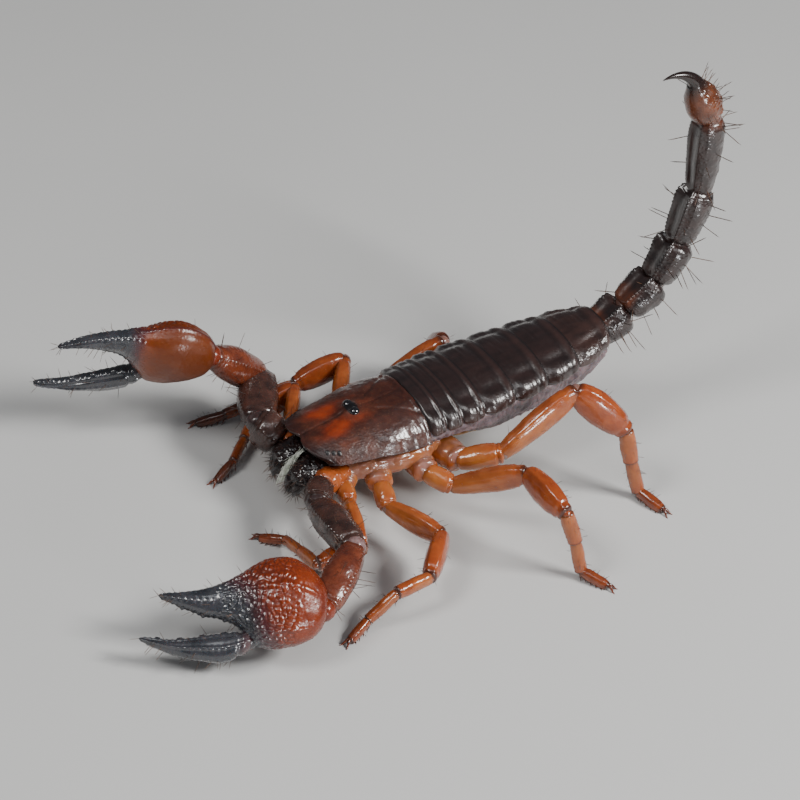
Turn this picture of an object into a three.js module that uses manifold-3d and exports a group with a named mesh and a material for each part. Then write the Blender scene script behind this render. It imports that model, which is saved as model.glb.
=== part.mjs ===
// A burrowing scorpion (family Scorpionidae), life size, standing with its tail raised and its claws
// held forward. Millimetres. +X is ahead of the animal, +Y its left, +Z up, and the floor is Z = 0.

import * as THREE from 'three';
import { mergeVertices } from 'three/addons/utils/BufferGeometryUtils.js';
import Module from 'manifold-3d';

// Driving dimensions
const CARAPACE_LENGTH = 12;
const CARAPACE_REAR_HALF = 5.6;
const CARAPACE_FRONT_HALF = 4.3;
const TRUNK_LENGTH = 23;
const CREST_HEIGHT = 11.2;
const BODY_PITCH = 7.5;
const BODY_ROLL = 4.5;
const GAP = 0.16;

// Trunk outline: share of the trunk's length, half width, rise above the plate edge and drop below it
const TRUNK = [
  [0, 5.6, 3.2, 1.3],
  [0.15, 5.75, 3.2, 1.6],
  [0.3, 5.75, 3.2, 3.4],
  [0.5, 5.45, 3.1, 3.8],
  [0.7, 5.0, 3.0, 3.6],
  [0.85, 4.4, 2.8, 3.1],
  [1, 3.1, 2.4, 2.3],
];
const TERGITE_ENDS = [0.076, 0.157, 0.27, 0.433, 0.61, 0.79, 1];

// Tail: length, half width, half height and slope of each segment, from the trunk back and up
const TAIL = [
  { name: 'metasoma_1', length: 4.1, half: 2.3, high: 1.9, slope: 34 },
  { name: 'metasoma_2', length: 4.5, half: 2.15, high: 1.85, slope: 40 },
  { name: 'metasoma_3', length: 5.0, half: 2.05, high: 1.85, slope: 66 },
  { name: 'metasoma_4', length: 6.3, half: 1.95, high: 1.85, slope: 78 },
  { name: 'metasoma_5', length: 8.8, half: 1.8, high: 1.75, slope: 94 },
];
const TAIL_BASE = [-23, 0, -2.5];
const VESICLE = { length: 5.6, half: 1.85, high: 1.9, slope: 120 };
const ACULEUS = { length: 4.6, half: 0.8, slope: 132, bend: 70 };

// Legs: hip in the body's frame, then the lengths of trochanter, femur, patella, tibia, basitarsus
// and telotarsus, and half the depth of the femur
const LEGS = [
  { hip: [9.6, 4.1, -5.6], lengths: [2.4, 6.0, 5.2, 3.3, 3.3, 2.8], depth: 1.0 },
  { hip: [6.2, 5.7, -6.0], lengths: [2.7, 6.9, 6.1, 4.0, 3.8, 3.0], depth: 1.1 },
  { hip: [1.2, 6.3, -6.2], lengths: [3.0, 8.3, 6.4, 3.8, 3.9, 3.1], depth: 1.15 },
  { hip: [-2.6, 6.4, -6.3], lengths: [4.4, 9.8, 7.2, 4.0, 4.1, 3.3], depth: 1.25 },
];

// Stance: heading and slope of trochanter, femur, patella, tibia and basitarsus, then the heading of
// the telotarsus. A heading turns from straight ahead towards the leg's own side.
const STANCE = {
  left: [
    [[75, -8], [74, -12], [0, -2], [-92, -16], [-92, -18], -50],
    [[80, -22], [110, 4], [47, -4], [6, -4], [0, -40], 22],
    [[130, -14], [133, 29], [96, -4], [155, -68], [150, -73], 125],
    [[152, 17], [179, 36], [146, -36], [150, -74], [150, -70], 111],
  ],
  right: [
    [[82, -10], [124, 12], [0, -31], [-42, -9], [-42, -9], -23],
    [[149, -3], [125, 16], [3, -18], [11, -20], [11, -22], 15],
    [[150, 20], [179, 25], [110, -50], [160, -25], [160, -18], 160],
    [[165, -5], [175, 12], [150, -38], [175, -8], [178, -6], 178],
  ],
};

// Pedipalps: hinge on the body, lengths, and each side's pose. The roll turns the claw about its own
// length, its outer side going down, and the opening is the swing of the movable finger.
const PALP_HINGE = [12.1, 4.1, -4.6];
const PALP_LENGTHS = [3.3, 8.3, 8.7];
const PALP_POSE = {
  left: { links: [[53, 4], [85, 7], [41, -8]], heading: -29, slope: 4, roll: 45,
    opening: 5, slim: 1, bow: 0 },
  right: { links: [[56, 25], [121, -4], [-9, 38]], heading: 17, slope: 9, roll: 75,
    opening: 17, slim: 0.9, bow: 1.4 },
};

// Claw outline in its own plane: reach from the wrist, inner edge, outer edge and half thickness
const MANUS = [
  [-0.5, -1.0, 1.1, 1.1],
  [0.3, -2.4, 2.4, 1.9],
  [1.6, -3.7, 3.5, 2.5],
  [3.4, -4.5, 4.2, 2.8],
  [5.2, -4.4, 4.45, 2.75],
  [6.6, -3.8, 4.1, 2.4],
  [7.6, -3.0, 3.0, 1.8],
  [9.2, -1.9, 2.2, 1.25],
  [11.4, -0.8, 2.0, 1],
  [13.8, 0.0, 1.2, 0.75],
  [15.9, 0.3, 0.8, 0.35],
];
const FINGER_HINGE = [6.9, 3.7];
const MOVABLE_FINGER = [
  [-0.5, -0.9, 0.7, 0.9],
  [0.5, -0.9, 1.5, 1.25],
  [2.3, -0.6, 2.3, 1.15],
  [4.6, -0.2, 2.2, 1.0],
  [6.8, 0.2, 1.8, 0.8],
  [8.8, 0.2, 1.1, 0.6],
  [10.4, 0.0, 0.45, 0.32],
];

const wasm = await Module();
wasm.setup();

const UP = new THREE.Vector3(0, 0, 1);
const ORIGIN = new THREE.Vector3();
const model = new THREE.Group();
const body = new THREE.Matrix4()
  .makeTranslation(0, 0, CREST_HEIGHT)
  .multiply(new THREE.Matrix4().makeRotationY(THREE.MathUtils.degToRad(BODY_PITCH)))
  .multiply(new THREE.Matrix4().makeRotationX(THREE.MathUtils.degToRad(BODY_ROLL)));

function inBody(x, y, z) {
  return new THREE.Vector3(x, y, z).applyMatrix4(body);
}

function direction(heading, slope) {
  const turn = THREE.MathUtils.degToRad(heading);
  const lift = THREE.MathUtils.degToRad(slope);
  return new THREE.Vector3(
    Math.cos(lift) * Math.cos(turn),
    Math.cos(lift) * Math.sin(turn),
    Math.sin(lift),
  );
}

// Reads the columns of an outline table at any share of the way along it
function sample(table, at) {
  let row = 1;
  while (row < table.length - 1 && table[row][0] < at) row++;
  const [low, high] = [table[row - 1], table[row]];
  const share = THREE.MathUtils.clamp((at - low[0]) / (high[0] - low[0]), 0, 1);
  return low.map((value, column) => THREE.MathUtils.lerp(value, high[column], share));
}

// A closed skin over a row of rings: a lathe whose rings are moved to their places. A ring has a
// centre, side and up vectors, and an outline(angle) that gives its reach along those two vectors.
// A ring that isn't flat also has a shift(side).
function skin(rings, sides) {
  const profile = [new THREE.Vector2(0, 0)];
  rings.forEach((ring, index) => profile.push(new THREE.Vector2(1, index)));
  profile.push(new THREE.Vector2(0, rings.length - 1));
  const geometry = new THREE.LatheGeometry(profile, sides);
  geometry.deleteAttribute('normal');
  geometry.deleteAttribute('uv');
  const position = geometry.attributes.position;
  const unit = new THREE.Vector3();
  for (let index = 0; index < position.count; index++) {
    unit.fromBufferAttribute(position, index);
    const ring = rings[Math.round(unit.y)];
    const onAxis = Math.hypot(unit.x, unit.z) < 0.5;
    const point = ring.centre.clone();
    if (!onAxis) {
      const [side, rise] = ring.outline(Math.atan2(unit.z, unit.x));
      point.addScaledVector(ring.side, side).addScaledVector(ring.up, rise);
      point.add(ring.shift ? ring.shift(side) : ORIGIN);
    }
    position.setXYZ(index, point.x, point.y, point.z);
  }
  return facingOut(mergeVertices(geometry, 1e-4));
}

function facingOut(geometry) {
  const position = geometry.attributes.position;
  const index = geometry.index;
  const [a, b, c] = [new THREE.Vector3(), new THREE.Vector3(), new THREE.Vector3()];
  let volume = 0;
  for (let corner = 0; corner < index.count; corner += 3) {
    a.fromBufferAttribute(position, index.getX(corner));
    b.fromBufferAttribute(position, index.getX(corner + 1));
    c.fromBufferAttribute(position, index.getX(corner + 2));
    volume += a.dot(b.cross(c));
  }
  if (volume < 0) geometry.setIndex(Array.from(index.array).reverse());
  return geometry;
}

// An oval outline with its own rise and drop. A squareness above 1 fills out its corners.
function oval(half, rise, drop, squareness = 1) {
  const bulge = (value) => Math.sign(value) * Math.abs(value) ** (1 / squareness);
  return (angle) => {
    const lift = bulge(Math.sin(angle));
    return [half * bulge(Math.cos(angle)), lift > 0 ? rise * lift : drop * lift];
  };
}

function solid(geometry) {
  const mesh = new wasm.Mesh({
    numProp: 3,
    vertProperties: new Float32Array(geometry.attributes.position.array),
    triVerts: new Uint32Array(geometry.index.array),
  });
  mesh.merge();
  return new wasm.Manifold(mesh);
}

function join(solids) {
  return solids.reduce((joined, next) => joined.add(next));
}

// The half space beyond a plane, as a block that is large beside any one joint
function beyond(point, normal, size = 16) {
  const block = new THREE.BoxGeometry(size, size, size).translate(0, 0, size / 2);
  block.deleteAttribute('normal');
  block.deleteAttribute('uv');
  const turn = new THREE.Quaternion().setFromUnitVectors(UP, normal.clone().normalize());
  block.applyQuaternion(turn).translate(point.x, point.y, point.z);
  return solid(mergeVertices(block, 1e-4));
}

// Cuts a solid across the plane that halves a joint. One direction leads from the joint into the
// solid and the other into its neighbour.
function mitre(solidBody, point, inward, outward) {
  const normal = outward.clone().sub(inward).normalize();
  return solidBody.subtract(beyond(point.clone().addScaledVector(normal, -GAP / 2), normal));
}

function addNode(name, shape, colour, roughness = 0.45) {
  const mesh = shape.getMesh();
  const geometry = new THREE.BufferGeometry();
  geometry.setAttribute('position', new THREE.BufferAttribute(mesh.vertProperties, 3));
  geometry.setIndex(new THREE.BufferAttribute(mesh.triVerts, 1));
  geometry.computeVertexNormals();
  const material = new THREE.MeshStandardMaterial({ color: colour, roughness, metalness: 0 });
  const node = new THREE.Mesh(geometry, material);
  node.name = name;
  model.add(node);
}

// A straight link of a limb. The profile lists its share of the length, width and depth, and it
// overshoots both ends a little, so that a mitre cuts it cleanly.
function link(from, to, half, depth, profile, sides = 10, plane = UP) {
  const along = to.clone().sub(from);
  const forward = along.clone().normalize();
  const side = new THREE.Vector3().crossVectors(plane, forward).normalize();
  const up = new THREE.Vector3().crossVectors(forward, side);
  const rings = profile.map(([share, wide, deep]) => ({
    centre: from.clone().addScaledVector(along, share),
    side,
    up,
    outline: oval(half * wide, depth * deep, depth * deep, 1.15),
  }));
  return solid(skin(rings, sides));
}

const FORWARD = new THREE.Vector3(1, 0, 0).transformDirection(body);
const BACKWARD = FORWARD.clone().negate();
const LEFT = new THREE.Vector3(0, 1, 0).transformDirection(body);
const BACK_UP = new THREE.Vector3(0, 0, 1).transformDirection(body);

// A ring that stands across the body at a distance ahead of the rear of the carapace
function bodyRing(ahead, height, outline, shift) {
  return { centre: inBody(ahead, 0, height), side: LEFT, up: BACK_UP, outline, shift };
}

// Profiles of limb pieces: share of the length, width and depth
const STEM = [[-0.1, 0.75, 0.75], [0.45, 1, 1], [1.08, 0.8, 0.8]];
const THIGH = [[-0.06, 0.7, 0.6], [0.25, 1, 0.95], [0.75, 1, 1.05], [1.05, 0.7, 0.65]];
const SHIN = [[-0.07, 0.65, 0.6], [0.3, 1, 1.12], [0.75, 0.98, 1], [1.06, 0.6, 0.55]];
const SHANK = [[-0.06, 0.75, 0.72], [0.4, 1, 1.05], [1.06, 0.72, 0.68]];
const TOE = [[-0.06, 0.8, 0.8], [0.4, 1, 1], [1.05, 0.75, 0.75]];

function sideName(side) {
  return side > 0 ? 'left' : 'right';
}

// Follows headings and slopes from a start, and returns the joints passed and the steps taken
function follow(start, side, lengths, links) {
  const joints = [start];
  const steps = links.map(([heading, slope]) => direction(side * heading, slope));
  steps.forEach((step, index) => {
    joints.push(joints[index].clone().addScaledVector(step, lengths[index]));
  });
  return { joints, steps };
}

// Joints of a leg. Its last piece slopes down to meet the floor.
const SOLE_SHARE = 0.22;

function legChain(side, index) {
  const { hip, lengths, depth } = LEGS[index];
  const stance = STANCE[sideName(side)][index];
  const chain = follow(inBody(hip[0], side * hip[1], hip[2]), side, lengths, stance.slice(0, 5));
  const ankle = chain.joints[5];
  const fall = THREE.MathUtils.radToDeg(Math.asin((ankle.z - SOLE_SHARE * depth) / lengths[5]));
  const toe = direction(side * stance[5], -fall);
  chain.joints.push(ankle.clone().addScaledVector(toe, lengths[5]));
  chain.steps.push(toe);
  return chain;
}

function palpChain(side) {
  const [ahead, out, height] = PALP_HINGE;
  return follow(inBody(ahead, side * out, height), side, PALP_LENGTHS,
    PALP_POSE[sideName(side)].links);
}

// Half width and half depth of each piece of a leg, in shares of the leg's own measure
const LIMB = {
  trochanter: [0.8, 0.85],
  femur: [0.68, 1],
  patella: [0.78, 1.15],
  tibia: [0.54, 0.72],
  basitarsus: [0.48, 0.58],
  telotarsus: [0.46, 0.52],
};

function legPiece(chain, piece, shape, depth, profile, margin = 0) {
  const [wide, deep] = LIMB[shape];
  const [from, to] = chain.joints.slice(piece, piece + 2);
  const sides = piece === 1 || piece === 2 ? 8 : piece > 3 ? 5 : 6;
  return link(from, to, depth * wide + margin, depth * deep + margin, profile, sides);
}

// Carapace: a dome that narrows and slopes down ahead, with a notch in the middle of its front
const CARAPACE_SHARES = [0, 0.16, 0.45, 0.72, 0.9, 1];
const EYE = { radius: 0.55, ahead: 6.1, apart: 0.68, height: 0.02 };

function ellipsoid(centre, lengthways, sideways, upward, around = 8, along = 5) {
  const ball = new THREE.SphereGeometry(1, around, along);
  ball.deleteAttribute('normal');
  ball.deleteAttribute('uv');
  ball.scale(lengthways, sideways, upward);
  const turn = new THREE.Matrix4().extractRotation(body).setPosition(centre);
  return solid(mergeVertices(ball.applyMatrix4(turn), 1e-4));
}

function eye(side, margin = 0) {
  const radius = EYE.radius + margin;
  return ellipsoid(inBody(EYE.ahead, side * EYE.apart, EYE.height), radius, radius, radius);
}

function carapace(margin = 0) {
  const rings = CARAPACE_SHARES.map((share) => {
    const half = THREE.MathUtils.lerp(CARAPACE_REAR_HALF, CARAPACE_FRONT_HALF, share)
      + 0.35 * Math.sin(Math.PI * share);
    const rise = THREE.MathUtils.lerp(3.6, 1.6, share);
    const ahead = THREE.MathUtils.lerp(GAP / 2 - margin, CARAPACE_LENGTH + margin, share);
    const front = (side) => FORWARD.clone().multiplyScalar(
      -(share ** 6) * (1.1 * Math.exp(-(side ** 2)) + 0.5 * (side / half) ** 4),
    );
    const outline = oval(half + margin, rise + margin, 0.4 + margin, 1.1);
    return bodyRing(ahead, -(share ** 2) - rise, outline, front);
  });
  return solid(skin(rings, 16));
}

const eyeMound = ellipsoid(inBody(EYE.ahead, 0, -0.42), 1.5, 1.05, 0.5);
addNode('carapace', carapace().add(eyeMound).subtract(eye(1, GAP)).subtract(eye(-1, GAP)),
  '#5b2a1c', 0.32);

// Chelicerae: a barrel under the front of the carapace with two short fingers
const BARREL = [[0, 0.85, 0.85], [0.5, 1, 1], [1, 0.5, 0.5]];
const NAIL = [[-0.1, 0.8, 0.8], [0.5, 1, 1], [1, 0.3, 0.3]];

function chelicera(side, margin = 0) {
  const place = (ahead, out, height) => inBody(ahead, side * out, height);
  const barrel = link(place(8.8, 1.75, -4.3), place(14.4, 1.85, -4.5), 1.6 + margin,
    1.5 + margin, BARREL, 8, BACK_UP);
  const fixed = link(place(13.4, 1.3, -4.3), place(15.2, 1.2, -6.4), 0.6 + margin,
    0.6 + margin, NAIL, 5, BACK_UP);
  const movable = link(place(13.2, 2.6, -4.5), place(14.9, 2.2, -6.7), 0.6 + margin,
    0.62 + margin, NAIL, 5, BACK_UP);
  return join([barrel, fixed, movable]);
}

// Trunk: seven rings, each a back plate with the soft side and belly below it
function trunkRing(share, ahead, flare, margin) {
  const [, half, rise, drop] = sample(TRUNK, share);
  return bodyRing(ahead, -rise, oval(half * flare + margin, rise + margin, drop + margin, 1.12));
}

function trunkPlate(start, end, margin = 0) {
  const front = -start * TRUNK_LENGTH - GAP / 2 + margin;
  const rear = -end * TRUNK_LENGTH + GAP / 2 - margin;
  return solid(skin([
    trunkRing(start, front, 0.97, margin),
    trunkRing((start + end) / 2, (front + rear) / 2, 1, margin),
    trunkRing(end, rear, 1.01, margin),
  ], 16));
}

const trunkSpans = TERGITE_ENDS.map((end, index) => [index ? TERGITE_ENDS[index - 1] : 0, end]);
trunkSpans.forEach(([start, end], index) => {
  addNode(`tergite_${index + 1}`, trunkPlate(start, end), '#2b1a17', 0.3);
});

// Underside of the head: the sternum, the coxae of the eight legs and those of the pedipalps
const STERNUM = [[-4.5, 1.3], [-3.4, 2.2], [-1, 3.4], [3, 3.4], [7, 2.8], [10, 2.2]];

function coxosternum() {
  const keel = STERNUM.map(([ahead, half]) => bodyRing(ahead, -5.6, oval(half, 1.8, 1.5, 1.2)));
  const parts = [solid(skin(keel, 10))];
  for (const side of [-1, 1]) {
    LEGS.forEach(({ hip, depth }, index) => {
      const [ahead, out, height] = hip;
      const root = inBody(ahead * 0.75, side * 1.2, height - 0.1);
      const end = inBody(ahead, side * out, height);
      const inward = root.clone().sub(end).normalize();
      const coxa = link(root, end, depth * 1.15, depth * 1.05, STEM, 6, BACK_UP);
      parts.push(mitre(coxa, end, inward, legChain(side, index).steps[0]));
    });
    const [ahead, out, height] = PALP_HINGE;
    const root = inBody(ahead - 4, side * 2.2, height - 0.9);
    const hinge = inBody(ahead, side * out, height);
    const inward = root.clone().sub(hinge).normalize();
    const coxa = link(root, hinge, 1.5, 1.5, STEM, 6, BACK_UP);
    parts.push(mitre(coxa, hinge, inward, palpChain(side).steps[0]));
  }
  const neighbours = trunkSpans.slice(0, 3).map(([start, end]) => trunkPlate(start, end, GAP));
  neighbours.push(carapace(GAP), chelicera(1, GAP), chelicera(-1, GAP));
  for (const side of [1, -1]) {
    neighbours.push(legPiece(legChain(side, 0), 0, 'trochanter', LEGS[0].depth, STEM, GAP));
  }
  return join(parts).subtract(join(neighbours));
}

addNode('coxosternum', coxosternum(), '#96602f', 0.4);
for (const side of [1, -1]) {
  addNode(`eye_median_${sideName(side)}`, eye(side), '#0a0a0c', 0.1);
  addNode(`chelicera_${sideName(side)}`, chelicera(side).subtract(carapace(GAP)), '#2a1512', 0.3);
}

// Pectines: two combs behind the last coxae, flat under the belly
const PECTINE = { length: 4.2, width: 1, thick: 0.6, teeth: 5, tooth: 0.85, sweep: 165 };

function pectine(side) {
  const comb = new THREE.Shape();
  const pitch = PECTINE.length / PECTINE.teeth;
  comb.moveTo(0, 0);
  for (let tooth = 0; tooth < PECTINE.teeth; tooth++) {
    const reach = PECTINE.tooth * (1 - 0.45 * tooth / PECTINE.teeth);
    comb.lineTo(tooth * pitch + 0.1 * pitch, reach);
    comb.lineTo(tooth * pitch + 0.7 * pitch, reach);
    comb.lineTo((tooth + 1) * pitch, 0);
  }
  comb.lineTo(PECTINE.length, -PECTINE.width * 0.4);
  comb.lineTo(0, -PECTINE.width);
  const plate = new THREE.ExtrudeGeometry(comb, { depth: PECTINE.thick, bevelEnabled: false });
  plate.deleteAttribute('normal');
  plate.deleteAttribute('uv');
  const place = new THREE.Matrix4().makeRotationZ(THREE.MathUtils.degToRad(PECTINE.sweep));
  plate.applyMatrix4(place.setPosition(-5, 0.9, -7.35));
  if (side < 0) plate.scale(1, -1, 1);
  return solid(facingOut(mergeVertices(plate.applyMatrix4(body), 1e-4)));
}

const belly = join(trunkSpans.slice(2, 5).map(([start, end]) => trunkPlate(start, end, GAP)));
for (const side of [1, -1]) {
  addNode(`pectine_${sideName(side)}`, pectine(side).subtract(belly), '#c99a5c', 0.5);
}

// Tail: five barrels that flare towards their rear ends, then the sting
const BARREL_TAIL = [
  [-0.12, 0.7, 0.7],
  [0.2, 0.94, 0.92],
  [0.9, 1, 1],
  [1.1, 0.75, 0.75],
];
const BACKSIDE = 180;

const tail = follow(inBody(...TAIL_BASE), 1, TAIL.map(({ length }) => length),
  TAIL.map(({ slope }) => [BACKSIDE, slope]));
const stingStep = direction(BACKSIDE, VESICLE.slope);

TAIL.forEach(({ name, half, high }, index) => {
  const [from, to] = [tail.joints[index], tail.joints[index + 1]];
  const step = tail.steps[index];
  const up = new THREE.Vector3().crossVectors(step, LEFT).normalize();
  const before = index ? tail.steps[index - 1] : BACKWARD;
  const after = tail.steps[index + 1] ?? stingStep;
  const barrel = link(from, to, half, high, BARREL_TAIL, 10, up);
  const trimmed = mitre(barrel, from, index ? step : before, before.clone().negate());
  addNode(name, mitre(trimmed, to, step.clone().negate(), after), '#2c1a16', 0.38);
});

// Sting: a bulb, then a curved point that narrows all the way
const BULB = [[-0.05, 0.5, 0.45], [0.08, 0.75, 0.7], [0.35, 1, 1], [0.65, 0.9, 0.9], [1, 0.44, 0.42]];
const tailEnd = tail.joints[TAIL.length];
const bulbEnd = tailEnd.clone().addScaledVector(stingStep, VESICLE.length);
const bulb = link(tailEnd, bulbEnd, VESICLE.half, VESICLE.high, BULB, 10, LEFT);
addNode('vesicle', mitre(bulb, tailEnd, stingStep, tail.steps[TAIL.length - 1].clone().negate()),
  '#4a2318', 0.35);

function aculeus() {
  const rings = [];
  const steps = 5;
  const centre = bulbEnd.clone().addScaledVector(stingStep, GAP);
  for (let index = 0; index <= steps; index++) {
    const share = index / steps;
    const forward = direction(BACKSIDE, ACULEUS.slope + ACULEUS.bend * share);
    const half = THREE.MathUtils.lerp(ACULEUS.half, 0.2, share ** 0.9);
    const up = new THREE.Vector3().crossVectors(forward, LEFT).normalize();
    rings.push({ centre: centre.clone(), side: LEFT, up, outline: oval(half, half, half) });
    centre.addScaledVector(forward, ACULEUS.length / steps);
  }
  return solid(skin(rings, 8));
}

addNode('aculeus', aculeus(), '#1c0f0d', 0.25);

// Legs. The trochanter and femur are one node, the patella one, and all below it the foot.
const CLAW = [[0, 1, 1], [1, 0.6, 0.6]];
const CLAW_SPREAD = 24;

// Trims a piece of a leg at the joint before it or after it
function trimBefore(shape, chain, joint) {
  const { joints, steps } = chain;
  return mitre(shape, joints[joint], steps[joint], steps[joint - 1].clone().negate());
}

function trimAfter(shape, chain, joint) {
  const { joints, steps } = chain;
  return mitre(shape, joints[joint], steps[joint - 1].clone().negate(), steps[joint]);
}

// Each foot ends in two claws and stands on a small flat on the floor
const floor = beyond(new THREE.Vector3(), UP.clone().negate(), 100);

function claw(chain, turn) {
  const toe = chain.joints[6];
  const heading = chain.steps[5].clone().setZ(0).normalize();
  const spread = heading.applyAxisAngle(UP, THREE.MathUtils.degToRad(turn * CLAW_SPREAD));
  const start = toe.clone().addScaledVector(spread, -0.2);
  const end = toe.clone().addScaledVector(spread, 1.1).setZ(0.2);
  return link(start, end, 0.3, 0.3, CLAW, 4);
}

for (const side of [1, -1]) {
  LEGS.forEach(({ depth, hip }, index) => {
    const chain = legChain(side, index);
    const { joints, steps } = chain;
    const name = `leg_${sideName(side)}_${index + 1}`;
    const root = inBody(hip[0] * 0.75, side * 1.2, hip[2] - 0.1);
    const coxaward = root.sub(joints[0]).normalize();
    const trochanter = mitre(legPiece(chain, 0, 'trochanter', depth, STEM), joints[0], steps[0],
      coxaward);
    const femur = trimAfter(legPiece(chain, 1, 'femur', depth, THIGH), chain, 2);
    addNode(`${name}_femur`, trochanter.add(femur), '#a4481f', 0.35);
    const patella = trimBefore(legPiece(chain, 2, 'patella', depth, SHIN), chain, 2);
    addNode(`${name}_patella`, trimAfter(patella, chain, 3), '#a84b20', 0.35);
    const tibia = trimBefore(legPiece(chain, 3, 'tibia', depth, SHANK), chain, 3);
    const basitarsus = legPiece(chain, 4, 'basitarsus', depth, SHANK);
    const telotarsus = legPiece(chain, 5, 'telotarsus', depth, TOE);
    const claws = [-1, 1].map((turn) => claw(chain, turn));
    const foot = join([tibia, basitarsus, telotarsus, ...claws]).subtract(floor);
    addNode(`${name}_foot`, foot, '#8e431f', 0.4);
  });
}

// Pedipalps: trochanter, femur and patella, then the claw with its fixed and movable fingers
const ARM = {
  trochanter: [1.5, 1.55],
  femur: [1.75, 1.5],
  patella: [1.95, 1.75],
};

function clawFrame(side) {
  const pose = PALP_POSE[sideName(side)];
  const along = direction(side * pose.heading, pose.slope);
  const back = UP.clone().addScaledVector(along, -along.z).normalize();
  const out = new THREE.Vector3().crossVectors(back, along).multiplyScalar(side);
  const roll = THREE.MathUtils.degToRad(pose.roll);
  const normal = back.clone().multiplyScalar(Math.cos(roll)).addScaledVector(out, Math.sin(roll));
  const across = out.clone().multiplyScalar(Math.cos(roll)).addScaledVector(back, -Math.sin(roll));
  return { along, across, normal, slim: pose.slim, bow: pose.bow };
}

// A blade-like piece of the claw, lofted from rows of reach, inner edge, outer edge and thickness
function blade(origin, along, across, normal, rows, sides) {
  const rings = rows.map(([reach, inner, outer, thick]) => ({
    centre: origin.clone().addScaledVector(along, reach)
      .addScaledVector(across, (inner + outer) / 2),
    side: across,
    up: normal,
    outline: oval((outer - inner) / 2, thick, thick, 1.1),
  }));
  return solid(skin(rings, sides));
}

function movableFinger(wrist, side, margin = 0) {
  const { along, across, normal, slim } = clawFrame(side);
  const opening = THREE.MathUtils.degToRad(PALP_POSE[sideName(side)].opening);
  const swung = along.clone().multiplyScalar(Math.cos(opening))
    .addScaledVector(across, Math.sin(opening));
  const sideways = across.clone().multiplyScalar(Math.cos(opening))
    .addScaledVector(along, -Math.sin(opening));
  const hinge = wrist.clone().addScaledVector(along, FINGER_HINGE[0])
    .addScaledVector(across, FINGER_HINGE[1] * slim);
  const rows = MOVABLE_FINGER.map(([reach, inner, outer, thick]) => (
    [reach - (reach < 0 ? margin : 0), inner * slim - margin, outer * slim + margin,
      thick * slim + margin]
  ));
  return blade(hinge, swung, sideways, normal, rows, 7);
}

for (const side of [1, -1]) {
  const name = `pedipalp_${sideName(side)}`;
  const chain = palpChain(side);
  const { joints } = chain;
  const frame = clawFrame(side);
  chain.steps.push(frame.along);
  const [ahead, out, height] = PALP_HINGE;
  const root = inBody(ahead - 4, side * 2.2, height - 0.9);
  const pieces = Object.entries(ARM).map(([, [wide, deep]], index) => {
    const profile = index ? SHIN : STEM;
    const piece = link(joints[index], joints[index + 1], wide, deep, profile, 8);
    const before = index ? chain.steps[index - 1].clone().negate() : root.clone().sub(joints[0]);
    const trimmed = mitre(piece, joints[index], chain.steps[index], before.normalize());
    return trimAfter(trimmed, chain, index + 1);
  });
  const colours = ['#4a2416', '#4a2416', '#7c3a1e'];
  Object.keys(ARM).forEach((part, index) => {
    addNode(`${name}_${part}`, pieces[index], colours[index], 0.35);
  });
  const palm = MANUS.map(([reach, inner, outer, thick]) => {
    const raised = frame.bow * Math.sin(Math.PI * THREE.MathUtils.clamp((reach - 7) / 9, 0, 1));
    return [reach, inner * frame.slim - raised, outer * frame.slim - raised * 1.25,
      thick * frame.slim];
  });
  const hand = blade(joints[3], frame.along, frame.across, frame.normal, palm, 10);
  const manus = trimBefore(hand, chain, 3).subtract(movableFinger(joints[3], side, GAP));
  addNode(`${name}_manus`, manus, '#8a3a1c', 0.4);
  addNode(`${name}_movable_finger`, movableFinger(joints[3], side), '#3a1c18', 0.35);
}

// The origin is the middle of the underside of the model's box, on the floor
const box = new THREE.Box3().setFromObject(model);
const middle = box.getCenter(new THREE.Vector3()).setZ(box.min.z);
model.children.forEach((node) => node.geometry.translate(-middle.x, -middle.y, -middle.z));

export default model;
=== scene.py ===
from itertools import product

import bpy
import numpy as np
from mathutils import Matrix, Vector


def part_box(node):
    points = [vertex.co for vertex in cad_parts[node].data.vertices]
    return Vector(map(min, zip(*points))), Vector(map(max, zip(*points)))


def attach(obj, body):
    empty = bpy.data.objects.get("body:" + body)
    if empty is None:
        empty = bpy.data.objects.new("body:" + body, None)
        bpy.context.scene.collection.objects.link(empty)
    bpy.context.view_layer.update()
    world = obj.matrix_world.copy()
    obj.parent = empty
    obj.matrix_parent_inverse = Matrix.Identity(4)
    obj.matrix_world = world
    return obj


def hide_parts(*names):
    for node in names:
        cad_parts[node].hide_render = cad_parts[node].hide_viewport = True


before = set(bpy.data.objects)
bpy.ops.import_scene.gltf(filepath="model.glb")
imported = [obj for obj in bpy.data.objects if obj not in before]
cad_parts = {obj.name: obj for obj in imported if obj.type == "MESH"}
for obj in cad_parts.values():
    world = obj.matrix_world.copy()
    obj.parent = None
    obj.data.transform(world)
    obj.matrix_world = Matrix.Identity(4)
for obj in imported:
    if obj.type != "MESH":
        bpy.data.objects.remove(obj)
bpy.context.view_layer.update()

# ---------------------------------------------------------------------------------------------
# Display: a matt pale floor, soft studio lamps and the camera. Sizes in this file are millimetres
# unless they end in _M, and the body of the animal is pitched and rolled a little on its legs.
# ---------------------------------------------------------------------------------------------
MM = 0.001
FLOOR_WIDTH_M = 6
CREST_HEIGHT, BODY_PITCH, BODY_ROLL = 11.2, 7.5, 4.5
UP = np.array((0.0, 0.0, 1.0))


def spin(axis, degrees):
    return np.array(Matrix.Rotation(np.radians(degrees), 3, axis))


BODY_TURN = spin("Y", BODY_PITCH) @ spin("X", BODY_ROLL)
EYE = {"ahead": 6.1, "apart": 0.68, "height": 0.02, "sink": 0.13, "radii": (0.52, 0.56, 0.56)}

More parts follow.
